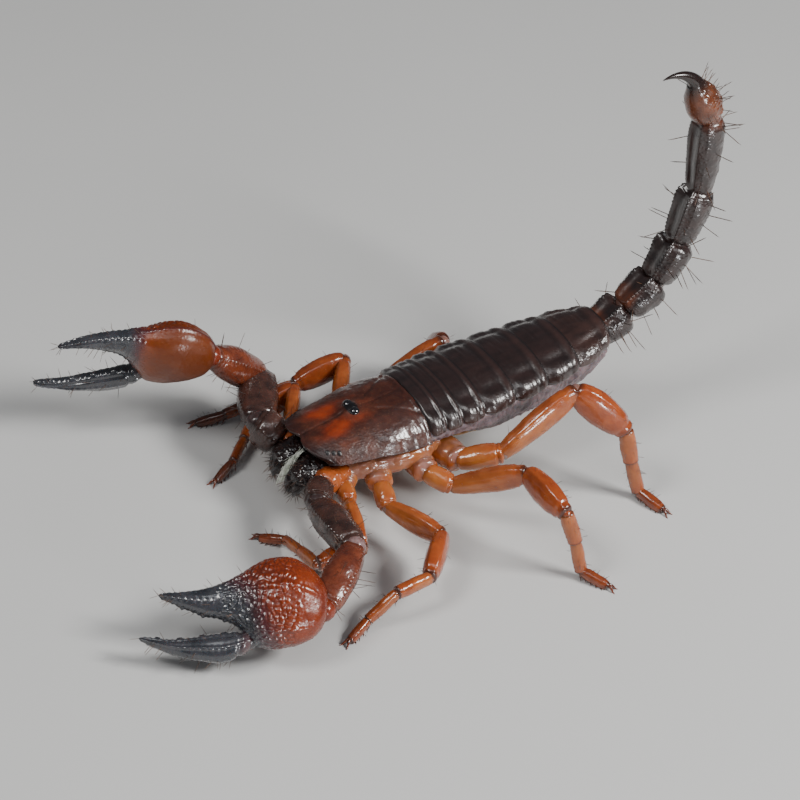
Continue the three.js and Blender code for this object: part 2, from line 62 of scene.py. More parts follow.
# The frame's origin is the middle of the model's box, and the left eye tells where that is
low, high = (np.array(corner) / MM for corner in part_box("eye_median_left"))
eye_spot = np.array((0, 0, CREST_HEIGHT)) + BODY_TURN @ (EYE["ahead"], EYE["apart"], EYE["height"])
SHIFT = (low + high) / 2 - eye_spot


def direction(heading, slope):
    turn, lift = np.radians(heading), np.radians(slope)
    return np.array((np.cos(lift) * np.cos(turn), np.cos(lift) * np.sin(turn), np.sin(lift)))


def unit(vector):
    return vector / np.linalg.norm(vector, axis=-1, keepdims=True)


VIEW = {"azimuth": 53.62, "elevation": 37.51, "distance": 361.26, "lean": -8.82, "lens": 158.73,
        "target": (-1.43, -2.10, 7.58)}
view_target = SHIFT + VIEW["target"]
view_back = direction(VIEW["azimuth"], VIEW["elevation"])
level_right = unit(np.cross(-view_back, UP))
level_up = np.cross(level_right, -view_back)
lean = np.radians(VIEW["lean"])
view_up = level_up * np.cos(lean) + level_right * np.sin(lean)
view_right = np.cross(-view_back, view_up)
camera = bpy.data.objects.new("camera", bpy.data.cameras.new("camera"))
camera.data.sensor_width = 36
camera.data.lens = VIEW["lens"]
camera.data.clip_start = 0.01
camera.data.clip_end = 20
turned = Matrix(np.stack([view_right, view_up, view_back], axis=1).tolist()).to_4x4()
spot = Vector(((view_target + view_back * VIEW["distance"]) * MM).tolist())
camera.matrix_world = Matrix.Translation(spot) @ turned
bpy.context.scene.collection.objects.link(camera)
bpy.context.scene.camera = camera


def lamp(name, heading, slope, distance, size, power, colour):
    light = bpy.data.lights.new(name, "AREA")
    light.shape = "RECTANGLE"
    light.size, light.size_y = size[0] * MM, size[1] * MM
    light.energy = power
    light.color = colour
    holder = bpy.data.objects.new(name, light)
    way = direction(heading, slope)
    facing = Vector((-way).tolist()).to_track_quat("-Z", "Y").to_matrix().to_4x4()
    place = Vector(((np.array((0, 0, 8)) + way * distance) * MM).tolist())
    holder.matrix_world = Matrix.Translation(place) @ facing
    bpy.context.scene.collection.objects.link(holder)


lamp("softbox_right", 131, 42, 340, (120, 90), 1.5, (1, 0.99, 0.97))
lamp("softbox_left", 2, 52, 360, (110, 90), 0.6, (1, 0.99, 0.97))
lamp("strip_low", 89, 5, 300, (60, 26), 0.3, (0.97, 0.98, 1))
lamp("fill_front", 60, 62, 460, (200, 160), 0.24, (0.94, 0.97, 1))
world = bpy.data.worlds.new("studio")
world.use_nodes = True
world.node_tree.nodes["Background"].inputs["Color"].default_value = (0.9, 0.93, 1, 1)
world.node_tree.nodes["Background"].inputs["Strength"].default_value = 0.1
bpy.context.scene.world = world


class Wire:
    """A socket of a finish, so that shader maths reads as plain sums."""

    def __init__(self, finish, socket):
        self.finish, self.socket = finish, socket

    def sum(self, operation, first, second):
        return self.finish.node("ShaderNodeMath", {"operation": operation}, {0: first, 1: second})

    def __add__(self, other):
        return self.sum("ADD", self, other)

    def __radd__(self, other):
        return self.sum("ADD", other, self)

    def __sub__(self, other):
        return self.sum("SUBTRACT", self, other)

    def __rsub__(self, other):
        return self.sum("SUBTRACT", other, self)

    def __mul__(self, other):
        return self.sum("MULTIPLY", self, other)

    def __rmul__(self, other):
        return self.sum("MULTIPLY", other, self)


class Finish:
    """A material of one finish. Its patterns are in millimetres of Object coordinates, and its
    constants are in Blender's own units."""

    def __init__(self, name, **constants):
        self.material = bpy.data.materials.new(name)
        self.material.use_nodes = True
        self.tree = self.material.node_tree
        self.shader = self.tree.nodes["Principled BSDF"]
        for socket, value in constants.items():
            self.shader.inputs[socket.replace("_", " ")].default_value = value

    def node(self, kind, settings=None, inputs=None, output=0):
        made = self.tree.nodes.new(kind)
        for setting, value in (settings or {}).items():
            if setting == "stops":
                while len(made.color_ramp.elements) < len(value):
                    made.color_ramp.elements.new(0.5)
                for stop, (at, colour) in zip(made.color_ramp.elements, value):
                    stop.position = at
                    stop.color = (*colour, 1)
            else:
                setattr(made, setting, value)
        for socket, value in (inputs or {}).items():
            if isinstance(value, Wire):
                self.tree.links.new(value.socket, made.inputs[socket])
            else:
                made.inputs[socket].default_value = value
        return Wire(self, made.outputs[output])

    def place(self, stretch=(1, 1, 1)):
        spot = self.node("ShaderNodeTexCoord", output="Object")
        return self.node("ShaderNodeVectorMath", {"operation": "MULTIPLY"},
                         {0: spot, 1: tuple(1000 * share for share in stretch)})

    def noise(self, size, detail=2.0, stretch=(1, 1, 1)):
        return self.node("ShaderNodeTexNoise", inputs={
            "Vector": self.place(stretch), "Scale": 1 / size, "Detail": detail})

    def grain(self, size, smooth=0.0):
        inputs = {"Vector": self.place(), "Scale": 1 / size}
        if smooth:
            inputs["Smoothness"] = smooth
        return self.node("ShaderNodeTexVoronoi", {"feature": "SMOOTH_F1" if smooth else "F1"},
                         inputs)

    def mark(self, name):
        return self.node("ShaderNodeAttribute", {"attribute_name": name}, output="Fac")

    def band(self, value, start, end, low=0.0, high=1.0):
        return self.node("ShaderNodeMapRange", {"interpolation_type": "SMOOTHSTEP"}, {
            "Value": value, "From Min": start, "From Max": end, "To Min": low, "To Max": high})

    def blend(self, share, first, second):
        first = first if isinstance(first, Wire) else (*first, 1)
        second = second if isinstance(second, Wire) else (*second, 1)
        return self.node("ShaderNodeMix", {"data_type": "RGBA"},
                         {0: share, 6: first, 7: second}, output=2)

    def ramp(self, value, *stops):
        return self.node("ShaderNodeValToRGB", {"stops": stops}, {"Fac": value})

    def wear(self, colour=None, roughness=None, relief=None, depth=0.02, strength=1.0,
             coat=None):
        if colour is not None:
            self.tree.links.new(colour.socket, self.shader.inputs["Base Color"])
        if roughness is not None:
            self.tree.links.new(roughness.socket, self.shader.inputs["Roughness"])
        if coat is not None:
            self.tree.links.new(coat.socket, self.shader.inputs["Coat Weight"])
        if relief is not None:
            bump = self.node("ShaderNodeBump", inputs={
                "Strength": strength, "Distance": depth * MM, "Height": relief})
            self.tree.links.new(bump.socket, self.shader.inputs["Normal"])


floor_paint = Finish("floor_paint", Roughness=0.75)
floor_tone = floor_paint.blend(floor_paint.noise(40, 3), (0.5, 0.5, 0.495), (0.54, 0.54, 0.535))
floor_paint.wear(floor_tone, None, floor_paint.noise(0.8, 3), 0.01, 0.2)
bpy.ops.mesh.primitive_plane_add(size=FLOOR_WIDTH_M, location=(0, 0, 0))
floor = bpy.context.object
floor.name = "floor"
floor.data.materials.append(floor_paint.material)

# ---------------------------------------------------------------------------------------------
# Carapace: one hard plate of cuticle that roofs the head. It is glossy, finely granular and cast
# in one piece, with a notched front edge, a long middle furrow and a low mound for two eyes.
# ---------------------------------------------------------------------------------------------
CARAPACE_LENGTH, CARAPACE_REAR_HALF, CARAPACE_FRONT_HALF = 12.6, 5.6, 4.3
LATERAL_EYES = ((10.9, 3.55), (10.35, 3.85), (9.85, 4.1))


def lerp(first, last, share):
    return first + (last - first) * share


def hump(value, width):
    """One at zero, and soon nothing past the width."""
    return np.exp(-(value / width) ** 2)


def step(value, start, end):
    """Eases from 0 at the start to 1 at the end."""
    share = np.clip((value - start) / (end - start), 0, 1)
    return share * share * (3 - 2 * share)


def chance(cell, seed):
    """A random number between 0 and 1 that is always the same for a cell."""
    mixed = np.sin(cell @ np.array((127.1, 311.7, 74.7)) + seed * 13.7) * 43758.5453
    return mixed - np.floor(mixed)


def ripple(points, size, seed=0):
    """Smooth random relief between -1 and 1, with swells of the given size."""
    spot = points.reshape(-1, 3) / size
    base = np.floor(spot)
    share = (spot - base) ** 2 * (3 - 2 * (spot - base))
    total = np.zeros(len(spot))
    for corner in product((0, 1), repeat=3):
        weight = np.prod(np.where(corner, share, 1 - share), axis=1)
        total += chance(base + corner, seed) * weight
    return total.reshape(points.shape[:-1]) * 2 - 1


def grains(points, size, seed=0):
    """Distance to the nearest and to the next grain, in shares of their spacing."""
    spot = points.reshape(-1, 3) / size
    base = np.floor(spot)
    near = np.full(len(spot), 9.0)
    second = near.copy()
    for step_over in product((-1, 0, 1), repeat=3):
        cell = base + step_over
        centre = cell + np.stack([chance(cell, seed + shift) for shift in (1, 2, 3)], axis=1)
        gap = np.linalg.norm(spot - centre, axis=1)
        second = np.minimum(second, np.maximum(near, gap))
        near = np.minimum(near, gap)
    shape = points.shape[:-1]
    return near.reshape(shape), second.reshape(shape)


def pimples(points, size, seed=0, radius=0.5):
    near, _ = grains(points, size, seed)
    return np.clip(1 - (near / radius) ** 2, 0, 1)


def grid(ahead, side, height):
    return np.stack(np.broadcast_arrays(ahead, side, height), axis=-1)


def superoval(turn, half, rise, drop, squareness):
    def bulge(value):
        return np.sign(value) * np.abs(value) ** (1 / squareness)
    lift = bulge(np.sin(turn))
    return half * bulge(np.cos(turn)), np.where(lift > 0, rise, drop) * lift


def outward(points, wrap=True):
    """Normals of a grid of points, turned away from the middle of each ring."""
    if wrap:
        around = np.roll(points, -1, axis=1) - np.roll(points, 1, axis=1)
    else:
        around = np.gradient(points, axis=1)
    along = np.gradient(points, axis=0)
    normal = np.cross(along, around)
    normal /= np.linalg.norm(normal, axis=-1, keepdims=True) + 1e-9
    facing = ((points - points.mean(axis=1, keepdims=True)) * normal).sum()
    return -normal if facing < 0 else normal


def raised(points, relief, wrap=True):
    """Points of a skin lifted by its relief, and the way in which each one went."""
    face = outward(points, wrap)
    return points + face * relief[..., None], face


class Mould:
    """Gathers closed skins of millimetre points into one mesh, with marks for its finish."""

    def __init__(self):
        self.points, self.faces, self.marks, self.count = [], [], [], 0

    def add(self, points, faces, marks):
        """Takes a closed skin, and turns its faces outwards by the sign of its volume."""
        corners = np.array([points[list(face[:3])] for face in faces])
        volume = np.einsum("ij,ij->", corners[:, 0], np.cross(corners[:, 1], corners[:, 2]))
        quads = [len(face) == 4 for face in faces]
        rest = np.array([points[list((face[0], face[2], face[3]))]
                         for face, quad in zip(faces, quads) if quad])
        if len(rest):
            volume += np.einsum("ij,ij->", rest[:, 0], np.cross(rest[:, 1], rest[:, 2]))
        if volume < 0:
            faces = [face[::-1] for face in faces]
        self.points.append(points)
        self.faces += [tuple(corner + self.count for corner in face) for face in faces]
        self.marks.append(marks)
        self.count += len(points)

    def tube(self, points, **marks):
        """A skin round a row of rings, closed with a pole at both ends."""
        rings, sides = points.shape[:2]
        poles = [points[0].mean(axis=0), points[-1].mean(axis=0)]
        flat = np.concatenate([points.reshape(-1, 3), poles])
        levels = {key: np.concatenate([
            np.broadcast_to(value, (rings, sides)).ravel(),
            [np.broadcast_to(value, (rings, sides))[end].mean() for end in (0, -1)]])
            for key, value in marks.items()}
        first = (np.arange(rings - 1)[:, None] * sides + np.arange(sides)).ravel()
        beside = (np.arange(rings - 1)[:, None] * sides + (np.arange(sides) + 1) % sides).ravel()
        faces = np.stack([first, beside, beside + sides, first + sides], axis=1).tolist()
        last, start, end = (rings - 1) * sides, rings * sides, rings * sides + 1
        for side in range(sides):
            after = (side + 1) % sides
            faces.append([start, after, side])
            faces.append([end, last + side, last + after])
        self.add(flat, faces, levels)

    def plate(self, top, bottom, **marks):
        """A thin plate between an upper and a lower sheet of points."""
        rows, columns = top.shape[:2]
        levels = {key: np.tile(np.broadcast_to(value, (rows, columns)).ravel(), 2)
                  for key, value in marks.items()}
        first = (np.arange(rows - 1)[:, None] * columns + np.arange(columns - 1)).ravel()
        upper = np.stack([first, first + 1, first + columns + 1, first + columns], axis=1)
        lower = upper[:, ::-1] + rows * columns
        # The rim's corners, in order round the sheet
        edge = [*range(columns), *range(2 * columns - 1, rows * columns, columns),
                *range(rows * columns - 2, (rows - 1) * columns - 1, -1),
                *range((rows - 2) * columns, 0, -columns)]
        under = rows * columns
        faces = [*upper.tolist(), *lower.tolist()]
        for corner, after in zip(edge, edge[1:] + edge[:1]):
            faces.append([after, corner, corner + under, after + under])
        self.add(np.concatenate([top.reshape(-1, 3), bottom.reshape(-1, 3)]), faces, levels)

    def make(self, name, finish, slot, nodes):
        points = np.concatenate(self.points) * MM
        mesh = bpy.data.meshes.new(name)
        mesh.from_pydata(points.tolist(), [], self.faces)
        mesh.polygons.foreach_set("use_smooth", np.ones(len(mesh.polygons), bool))
        for key in sorted({key for marks in self.marks for key in marks}):
            level = np.concatenate([marks.get(key, np.zeros(len(part)))
                                    for marks, part in zip(self.marks, self.points)])
            mark = mesh.attributes.new(key, "FLOAT", "POINT")
            mark.data.foreach_set("value", level.astype(np.float32))
        mesh.materials.append(finish.material)
        piece = bpy.data.objects.new(name, mesh)
        bpy.context.scene.collection.objects.link(piece)
        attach(piece, "root")
        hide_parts(*nodes)


def carapace_sheet(turn, share, sink=0.0):
    """Points of the carapace at shares of its width and length, and where they lie on it."""
    half = lerp(CARAPACE_REAR_HALF, CARAPACE_FRONT_HALF, share) + 0.35 * np.sin(np.pi * share)
    rise = lerp(3.6, 1.6, share)
    side, lift = superoval(turn, half - sink, rise - sink, 0.4, 1.1)
    ahead = lerp(0, CARAPACE_LENGTH, share)
    notch = share ** 6 * (0.5 * np.exp(-side ** 2 / 0.8) + 2.1 * np.abs(side / half) ** 4)
    return ahead - notch, side, -share ** 2 - rise + lift


columns, rows = 240, 170
turn = np.linspace(-0.06, np.pi + 0.06, columns)[None, :]
share = np.linspace(0, 1, rows)[:, None]
ahead, side, height = carapace_sheet(turn, share)
flat = grid(ahead, side, height)
middle = hump(side, 0.16) * (1 - hump(ahead - EYE["ahead"], 1.0)) * step(ahead, 0.6, 1.6)
fork = hump(np.abs(side) - (0.5 + 0.42 * (ahead - 7.6)), 0.3) * step(ahead, 7.4, 8.2)
oblique = hump(np.abs(side) - (1.0 + 0.62 * (4.4 - ahead)), 0.32) * step(4.6 - ahead, 0, 0.8)
mound = hump(ahead - EYE["ahead"], 1.0) * hump(side, 1.15)
lobe = hump(ahead - 10.2, 1.5) * hump(np.abs(side) - 1.9, 1.3)
edge_share = np.minimum(turn + 0.06, np.pi + 0.06 - turn)
flank_rim = hump(edge_share - 0.07, 0.05)
rear_rim = hump(ahead - 0.25, 0.16) - 0.8 * hump(ahead - 0.75, 0.28)
front_rim = step(share, 0.965, 0.985)
coarse = np.clip(0.35 + 0.9 * step(np.abs(side), 1.2, 4.2) + 0.5 * step(ahead, 3.4, 0.8), 0, 1.2)
slope = step(ahead, 6.2, 4.2) * step(np.abs(side), 1.5, 2.7)
crease = ripple(flat * (1, 0.32, 0.32), 0.42, 8) * slope
relief = (-0.1 * middle - 0.05 * fork - 0.13 * oblique + 0.52 * mound + 0.16 * lobe
          + 0.16 * slope * step(ahead, 0.4, 1.6)
          + 0.1 * flank_rim + 0.07 * rear_rim + 0.06 * front_rim
          + 0.06 * ripple(flat, 1.5, 3) + 0.03 * ripple(flat, 0.5, 4) + 0.05 * crease
          + 0.026 * pimples(flat, 0.25, 5, 0.6) * coarse * (1 - 0.55 * slope))
local, _ = raised(flat, relief, wrap=False)
lateral_eye = np.zeros(local.shape[:2])
for eye_ahead, eye_side in LATERAL_EYES:
    gap = np.hypot(ahead - eye_ahead, np.abs(side) - eye_side)
    local[..., 2] += 0.14 * np.sqrt(np.clip(1 - (gap / 0.22) ** 2, 0, 1))
    lateral_eye = np.maximum(lateral_eye, step(gap, 0.26, 0.18))
under = grid(*carapace_sheet(turn, share * 0.985 + 0.005, 0.35))
under[..., 2] -= 0.05
CREST = np.array((0, 0, CREST_HEIGHT)) + SHIFT


def placed(points):
    """Where points of the level body come to lie once it is pitched and set on its legs."""
    return CREST + points @ BODY_TURN.T


amber = (0.95 * hump(ahead - 8.9, 1.35) * hump(np.abs(side) - 1.75, 0.95)
         + 0.42 * hump(ahead - 8.0, 1.5) * hump(np.abs(side) - 1.0, 0.9)
         + 0.3 * hump(ahead - 5.8, 1.5) * hump(np.abs(side) - 1.9, 0.7)
         + 0.12 * hump(ahead - 3.9, 1.3) * hump(side, 0.7) + 0.14 * step(ahead, 1.0, 6.0))
amber = amber * (1 - 0.5 * middle) * (1 - 0.5 * oblique) * (1 - 0.4 * step(share, 0.86, 0.97))
blackness = np.maximum(hump(ahead - EYE["ahead"], 0.74) * hump(side, 1.32), lateral_eye)
cover = Mould()
corner = step(ahead, 9.6, 11.6) * step(np.abs(side), 1.6, 3.9)
cover.plate(placed(local), placed(under), amber=amber, black=step(blackness, 0.4, 0.6),
            dull=step(np.abs(side), 1.6, 3.2) * (1 - slope), shine=slope,
            dusk=np.clip(0.85 * corner + 0.6 * step(share, 0.88, 0.97) + 0.4 * flank_rim
                         + 0.5 * step(ahead, 5.0, 1.5) * hump(side, 2.6)
                         + 0.3 * step(ripple(flat, 1.1, 6), -0.1, 0.5) * step(np.abs(side), 1.5, 3),
                         0, 0.95))

shell_finish = Finish("carapace_finish", Roughness=0.3, IOR=1.5, Coat_IOR=1.8,
                      Coat_Roughness=0.24, Subsurface_Weight=0.05, Subsurface_Scale=0.0005)
cloud = shell_finish.noise(1.3, 5)
speck = shell_finish.grain(0.3)
umber = shell_finish.ramp(cloud, (0.3, (0.032, 0.0095, 0.0065)), (0.7, (0.082, 0.023, 0.013)))
orange = shell_finish.ramp(cloud, (0.25, (0.13, 0.016, 0.005)), (0.75, (0.25, 0.034, 0.007)))
mixed = shell_finish.blend(shell_finish.band(
    shell_finish.mark("amber") + (cloud - 0.5) * 0.6, 0.12, 0.9), umber, orange)
mixed = shell_finish.blend(shell_finish.band(speck, 0.36, 0.0, 0.0, 0.4), mixed,
                           (0.17, 0.07, 0.03))
mixed = shell_finish.blend(shell_finish.mark("dusk"), mixed, (0.018, 0.007, 0.007))
mixed = shell_finish.blend(shell_finish.mark("black"), mixed, (0.006, 0.005, 0.006))
gloss = 0.24 + shell_finish.noise(0.5, 3) * 0.18 + shell_finish.mark("dull") * 0.14
shell_finish.wear(mixed, gloss, shell_finish.grain(0.2, smooth=0.4) * 0.6
                  + shell_finish.noise(0.09, 2) * 0.5, 0.02, 0.55,
                  0.06 + 0.94 * shell_finish.mark("shine"))
cover.make("carapace_plate", shell_finish, "carapace_cuticle", ["carapace"])

# ---------------------------------------------------------------------------------------------
# Eyes: two smooth lenses of clear glassy cuticle over black, sunk side by side in the top of the
# mound. The three small lenses at each front corner are part of the plate itself.
# ---------------------------------------------------------------------------------------------
FORWARD, LEFT, BACK_UP = BODY_TURN.T
BOTH_SIDES = (("left", 1), ("right", -1))


def in_body(ahead, left, up):
    return placed(np.array((ahead, left, up), float))


def ring_turns(sides):
    """Angles once round a ring, as a row."""
    return np.linspace(0, 2 * np.pi, sides, endpoint=False)[None, :]


def ball(centre, axes, radii, rings=24, sides=32):
    polar = np.linspace(0.02, np.pi - 0.02, rings)[:, None, None]
    around = ring_turns(sides)[..., None]
    first, second, third = (axis * radius for axis, radius in zip(axes, radii))
    return (centre + first * np.cos(polar) + second * np.sin(polar) * np.cos(around)
            + third * np.sin(polar) * np.sin(around))


lens_finish = Finish("lens_finish", Roughness=0.04, IOR=1.55, Coat_Weight=1.0,
                     Coat_Roughness=0.02)
lens_finish.wear(lens_finish.blend(lens_finish.noise(0.6), (0.003, 0.003, 0.004),
                                   (0.012, 0.011, 0.014)))
for name, sign in BOTH_SIDES:
    lens = Mould()
    centre = in_body(EYE["ahead"], sign * EYE["apart"], EYE["height"])
    lens.tube(ball(centre - EYE["sink"] * BACK_UP, (BACK_UP, FORWARD, LEFT), EYE["radii"]))
    lens.make(f"lens_{name}", lens_finish, "eye_lens", [f"eye_median_{name}"])

# ---------------------------------------------------------------------------------------------
# Back: seven glossy plates of hard cuticle that overlap like roof tiles, each with a thick rear
# rim, fine folds across it and a swollen lobe at each side. The last one narrows to the tail.
# ---------------------------------------------------------------------------------------------
TRUNK_LENGTH = 23
TRUNK = [(0, 5.6, 3.2, 1.3), (0.15, 5.75, 3.2, 1.6), (0.3, 5.75, 3.2, 3.4), (0.5, 5.45, 3.1, 3.8),
         (0.7, 5.0, 3.0, 3.6), (0.85, 4.4, 2.8, 3.1), (1, 3.1, 2.4, 2.3)]
TERGITE_ENDS = [0.076, 0.157, 0.27, 0.433, 0.61, 0.79, 1]


def smooth_rows(rows, at):
    """Reads the columns of an outline table along a smooth curve."""
    rows = np.array(rows, float)
    stops, values = rows[:, 0], rows[:, 1:]
    slopes = np.gradient(values, stops, axis=0)
    row = np.clip(np.searchsorted(stops, at, "right") - 1, 0, len(stops) - 2)
    width = (stops[row + 1] - stops[row])[:, None]
    t = np.clip((at - stops[row])[:, None] / width, -0.3, 1.3)
    return (values[row] * (1 + 2 * t) * (1 - t) ** 2 + slopes[row] * width * t * (1 - t) ** 2
            + values[row + 1] * t * t * (3 - 2 * t) + slopes[row + 1] * width * t * t * (t - 1))


def trunk_ring(turn, behind, swell=0.0):
    half, rise, drop = smooth_rows(TRUNK, behind.ravel() / TRUNK_LENGTH).T[:, :, None]
    side, lift = superoval(turn, half + swell, rise + swell, drop + swell, 1.12)
    return grid(-behind, side, lift - rise)


back_finish = Finish("back_finish", Roughness=0.24, IOR=1.6, Coat_Weight=0.8, Coat_Roughness=0.24)
cloud = back_finish.noise(1.5, 4, (0.6, 1.3, 1))
tone = back_finish.ramp(cloud, (0.3, (0.0095, 0.0038, 0.0036)), (0.75, (0.024, 0.0105, 0.0095)))
tone = back_finish.blend(back_finish.mark("brown") * back_finish.band(cloud, 0.3, 0.7, 0.4, 1.0),
                         tone, (0.052, 0.021, 0.015))
tone = back_finish.blend(back_finish.mark("rim") * 0.3, tone, (0.06, 0.026, 0.021))
# The gap mark paints shade: the front strip that slips under the plate before, the groove in front
# of the rim and the rear edge are darkened.
tone = back_finish.blend(back_finish.mark("gap"), tone, (0.005, 0.0025, 0.0028))
gloss = 0.26 + back_finish.noise(0.35, 3) * 0.2
back_finish.wear(tone, gloss, back_finish.noise(0.16, 3, (1.6, 0.5, 1)) * 0.6
                 + back_finish.grain(0.22, smooth=0.5) * 0.6, 0.022, 0.6)
spread = np.linspace(0, 1, 170)[None, :]
for index, end in enumerate(TERGITE_ENDS):
    start = TERGITE_ENDS[index - 1] if index else 0
    length = (end - start) * TRUNK_LENGTH
    behind = lerp(start * TRUNK_LENGTH - 0.35, end * TRUNK_LENGTH + 0.22,
                  np.linspace(0, 1, 50 if index < 2 else 64))[:, None]
    along = (behind - start * TRUNK_LENGTH) / length
    shore = 0.06 + 0.16 * np.clip(np.abs(2 * along - 1.05), 0, 1.2) ** 4 * min(1.0, length / 2)
    turn = lerp(shore, np.pi - shore, 0.5 - 0.5 * np.cos(np.pi * (0.06 + 0.88 * spread)) / np.cos(
        0.06 * np.pi))
    across = np.abs(np.cos(turn))
    flat = trunk_ring(turn, behind)
    swirl = ripple(flat, 1.6, index)
    wide = min(1.0, length / 2.6)
    edge = np.minimum(turn - shore, np.pi - shore - turn)
    lobe = hump(edge - 0.34, 0.3)
    fold = ripple(flat * (1, 0.22, 0.22), 0.3, index)
    calm = 1 - 0.65 * hump(across, 0.55)
    relief = (-0.02 + 0.12 * along - 0.4 * step(along * length, 0.3, -0.3)
              + (0.08 * hump(along - 0.93, 0.09) - 0.11 * hump(along - 0.76, 0.1) * wide
                 + 0.1 * wide * hump(along - 0.42, 0.25)) * calm
              + 0.34 * wide * lobe * step(along, 0.0, 0.35) * step(along, 1.08, 0.8)
              - 0.16 * wide * hump(edge - 0.78, 0.14) * hump(along - 0.5, 0.35)
              - 0.03 * hump(across, 0.05) * step(along, 0.2, 0.4)
              + (0.026 + 0.02 * step(across, 0.6, 0.9)) * fold * (1 - 0.6 * step(along, 0.75, 0.95))
              + 0.04 * swirl * calm - 0.3 * step(edge, 0.12, -0.02) ** 2
              + (0.014 + 0.02 * (index == 6)) * pimples(flat, 0.26, index, 0.55)
              * (0.25 + step(across, 0.5, 0.9)))
    local, face = raised(flat, relief, wrap=False)
    plate = Mould()
    plate.plate(placed(local), placed(local - face * 0.17), rim=hump(along - 0.9, 0.08),
                # gap: painted shade where the plates overlap, in the groove before the rim and at
                # the rear edge
                gap=np.clip(step(along * length, 0.35, 0.05) + hump(along - 0.77, 0.09) * 0.5
                            + step((1 - along) * length, 0.02, -0.12), 0, 1) * 0.8,
                brown=np.clip((index == 6) * 0.4 + step(across, 0.9, 1.0) * 0.5
                              + 0.1 * swirl, 0, 1))
    plate.make(f"tergite_plate_{index + 1}", back_finish, "trunk_cuticle",
               [f"tergite_{index + 1}"])

# ---------------------------------------------------------------------------------------------
# Flanks and belly: a soft wrinkled skin joins the back plates to the belly's own flat plates,
# so that the trunk can swell. Four pairs of narrow breathing slits open in the belly plates.
# ---------------------------------------------------------------------------------------------
rear = TRUNK_LENGTH + 0.1
behind = np.linspace(-0.45, rear, 250)[:, None]
turn = ring_turns(210)
flat = trunk_ring(turn, behind, -0.3 - 1.0 * step(behind, rear - 0.7, rear) ** 2)
below = np.arccos(np.clip(-np.sin(turn), -1, 1))
belly = step(below, 0.95, 0.8)
flank = step(below, 0.82, 1.0) * step(below, 1.9, 1.6)
fold = ripple(flat * (1.1, 0.5, 1.0), 0.55, 2)
relief = flank * (0.1 + 0.11 * np.abs(fold) + 0.06 * np.sin(2 * np.pi * (
    below * 3.1 + 0.6 * ripple(flat, 1.8, 7))) + 0.05 * pimples(flat, 0.22, 9))
for index in range(2, 7):
    start, end = TERGITE_ENDS[index - 1] * TRUNK_LENGTH, TERGITE_ENDS[index] * TRUNK_LENGTH
    along = (behind - start) / (end - start)
    inside = (along > 0) & (along <= 1)
    relief = relief + inside * belly * (0.1 + 0.12 * along - 0.1 * step(along, 0.12, 0)
                                        + 0.03 * ripple(flat, 1.2, index))
    if index < 6:
        slit = np.hypot((along - 0.55) / 0.09, (below - 0.5) / 0.16)
        relief = relief + inside * (0.06 * hump(slit - 1.2, 0.3) - 0.16 * step(slit, 1.0, 0.5))
skin = Mould()
skin.tube(placed(raised(flat, relief)[0]), belly=belly)
soft_finish = Finish("soft_skin_finish", Roughness=0.45, Subsurface_Weight=0.25,
                     Subsurface_Scale=0.0008, Coat_Weight=0.15, Coat_Roughness=0.3)
tone = soft_finish.ramp(soft_finish.noise(0.9, 4), (0.3, (0.075, 0.052, 0.058)),
                        (0.7, (0.2, 0.145, 0.155)))
belly_tone = soft_finish.ramp(soft_finish.noise(2.2, 4), (0.3, (0.1, 0.045, 0.022)),
                              (0.7, (0.2, 0.1, 0.05)))
tone = soft_finish.blend(soft_finish.mark("belly"), tone, belly_tone)
soft_finish.wear(tone, 0.3 + soft_finish.noise(0.3, 3) * 0.25,
                 soft_finish.noise(0.12, 3) + soft_finish.grain(0.18, smooth=0.4), 0.03, 0.7)
skin.make("trunk_skin", soft_finish, "underside_cuticle",
          [f"tergite_{index}" for index in range(1, 8)])

# ---------------------------------------------------------------------------------------------
# Underside of the head: the hard roots of the eight legs and of the two claws meet round a small
# breastplate, with a pale wrinkled skin between them and the edge of the carapace.
# ---------------------------------------------------------------------------------------------
# Place of the hip, lengths from the trochanter to the last tarsus, and depth of the limb
LEGS = [
    {"hip": (9.6, 4.1, -5.6), "lengths": (2.4, 6.0, 5.2, 3.3, 3.3, 2.8), "depth": 1.0},
    {"hip": (6.2, 5.7, -6.0), "lengths": (2.7, 6.9, 6.1, 4.0, 3.8, 3.0), "depth": 1.1},
    {"hip": (1.2, 6.3, -6.2), "lengths": (3.0, 8.3, 6.4, 3.8, 3.9, 3.1), "depth": 1.15},
    {"hip": (-2.6, 6.4, -6.3), "lengths": (4.4, 9.8, 7.2, 4.0, 4.1, 3.3), "depth": 1.25},
]
PALP_HINGE = (12.1, 4.1, -4.6)
STEM = [(-0.1, 0.75, 0.75), (0.15, 0.9, 0.9), (0.45, 1, 1), (0.85, 0.94, 0.94), (1.08, 0.8, 0.8)]
STERNUM = [(-4.5, 1.3), (-3.4, 2.2), (-1, 3.4), (3, 3.4), (7, 2.8), (10, 2.2)]


def link(start, way, length, wide, deep, profile, rings=44, sides=44, axes=None, blunt=0.5):
    """Rings of one limb piece, rounded at both ends. Returns points, shares along and turns."""
    side, up = axes or (unit(np.cross(UP, way)), None)
    up = np.cross(way, side) if up is None else up
    first, last = profile[0][0], profile[-1][0]
    even = np.linspace(0.004, 0.996, rings)
    spread = 0.45 * even + 0.275 * (1 - np.cos(np.pi * even))
    share = first + (last - first) * spread
    across, depth = smooth_rows(profile, share).T[:, :, None]
    reach = np.minimum(spread, 1 - spread) * (last - first) * length / (blunt * min(wide, deep))
    cap = np.sqrt(1 - (1 - np.clip(reach, 0.01, 1)) ** 2)[:, None]
    turn = ring_turns(sides)
    out, lift = superoval(turn, wide * across * cap, deep * depth * cap, deep * depth * cap, 1.12)
    points = (start + way * length * share[:, None, None] + side * out[..., None]
              + up * lift[..., None])
    return points, share[:, None], turn


def between(first, last):
    return unit(last - first), np.linalg.norm(last - first)


def upright(way):
    """Side and top of a limb piece that keeps its top to the top of the back."""
    side = unit(np.cross(BACK_UP, way))
    return side, np.cross(way, side)


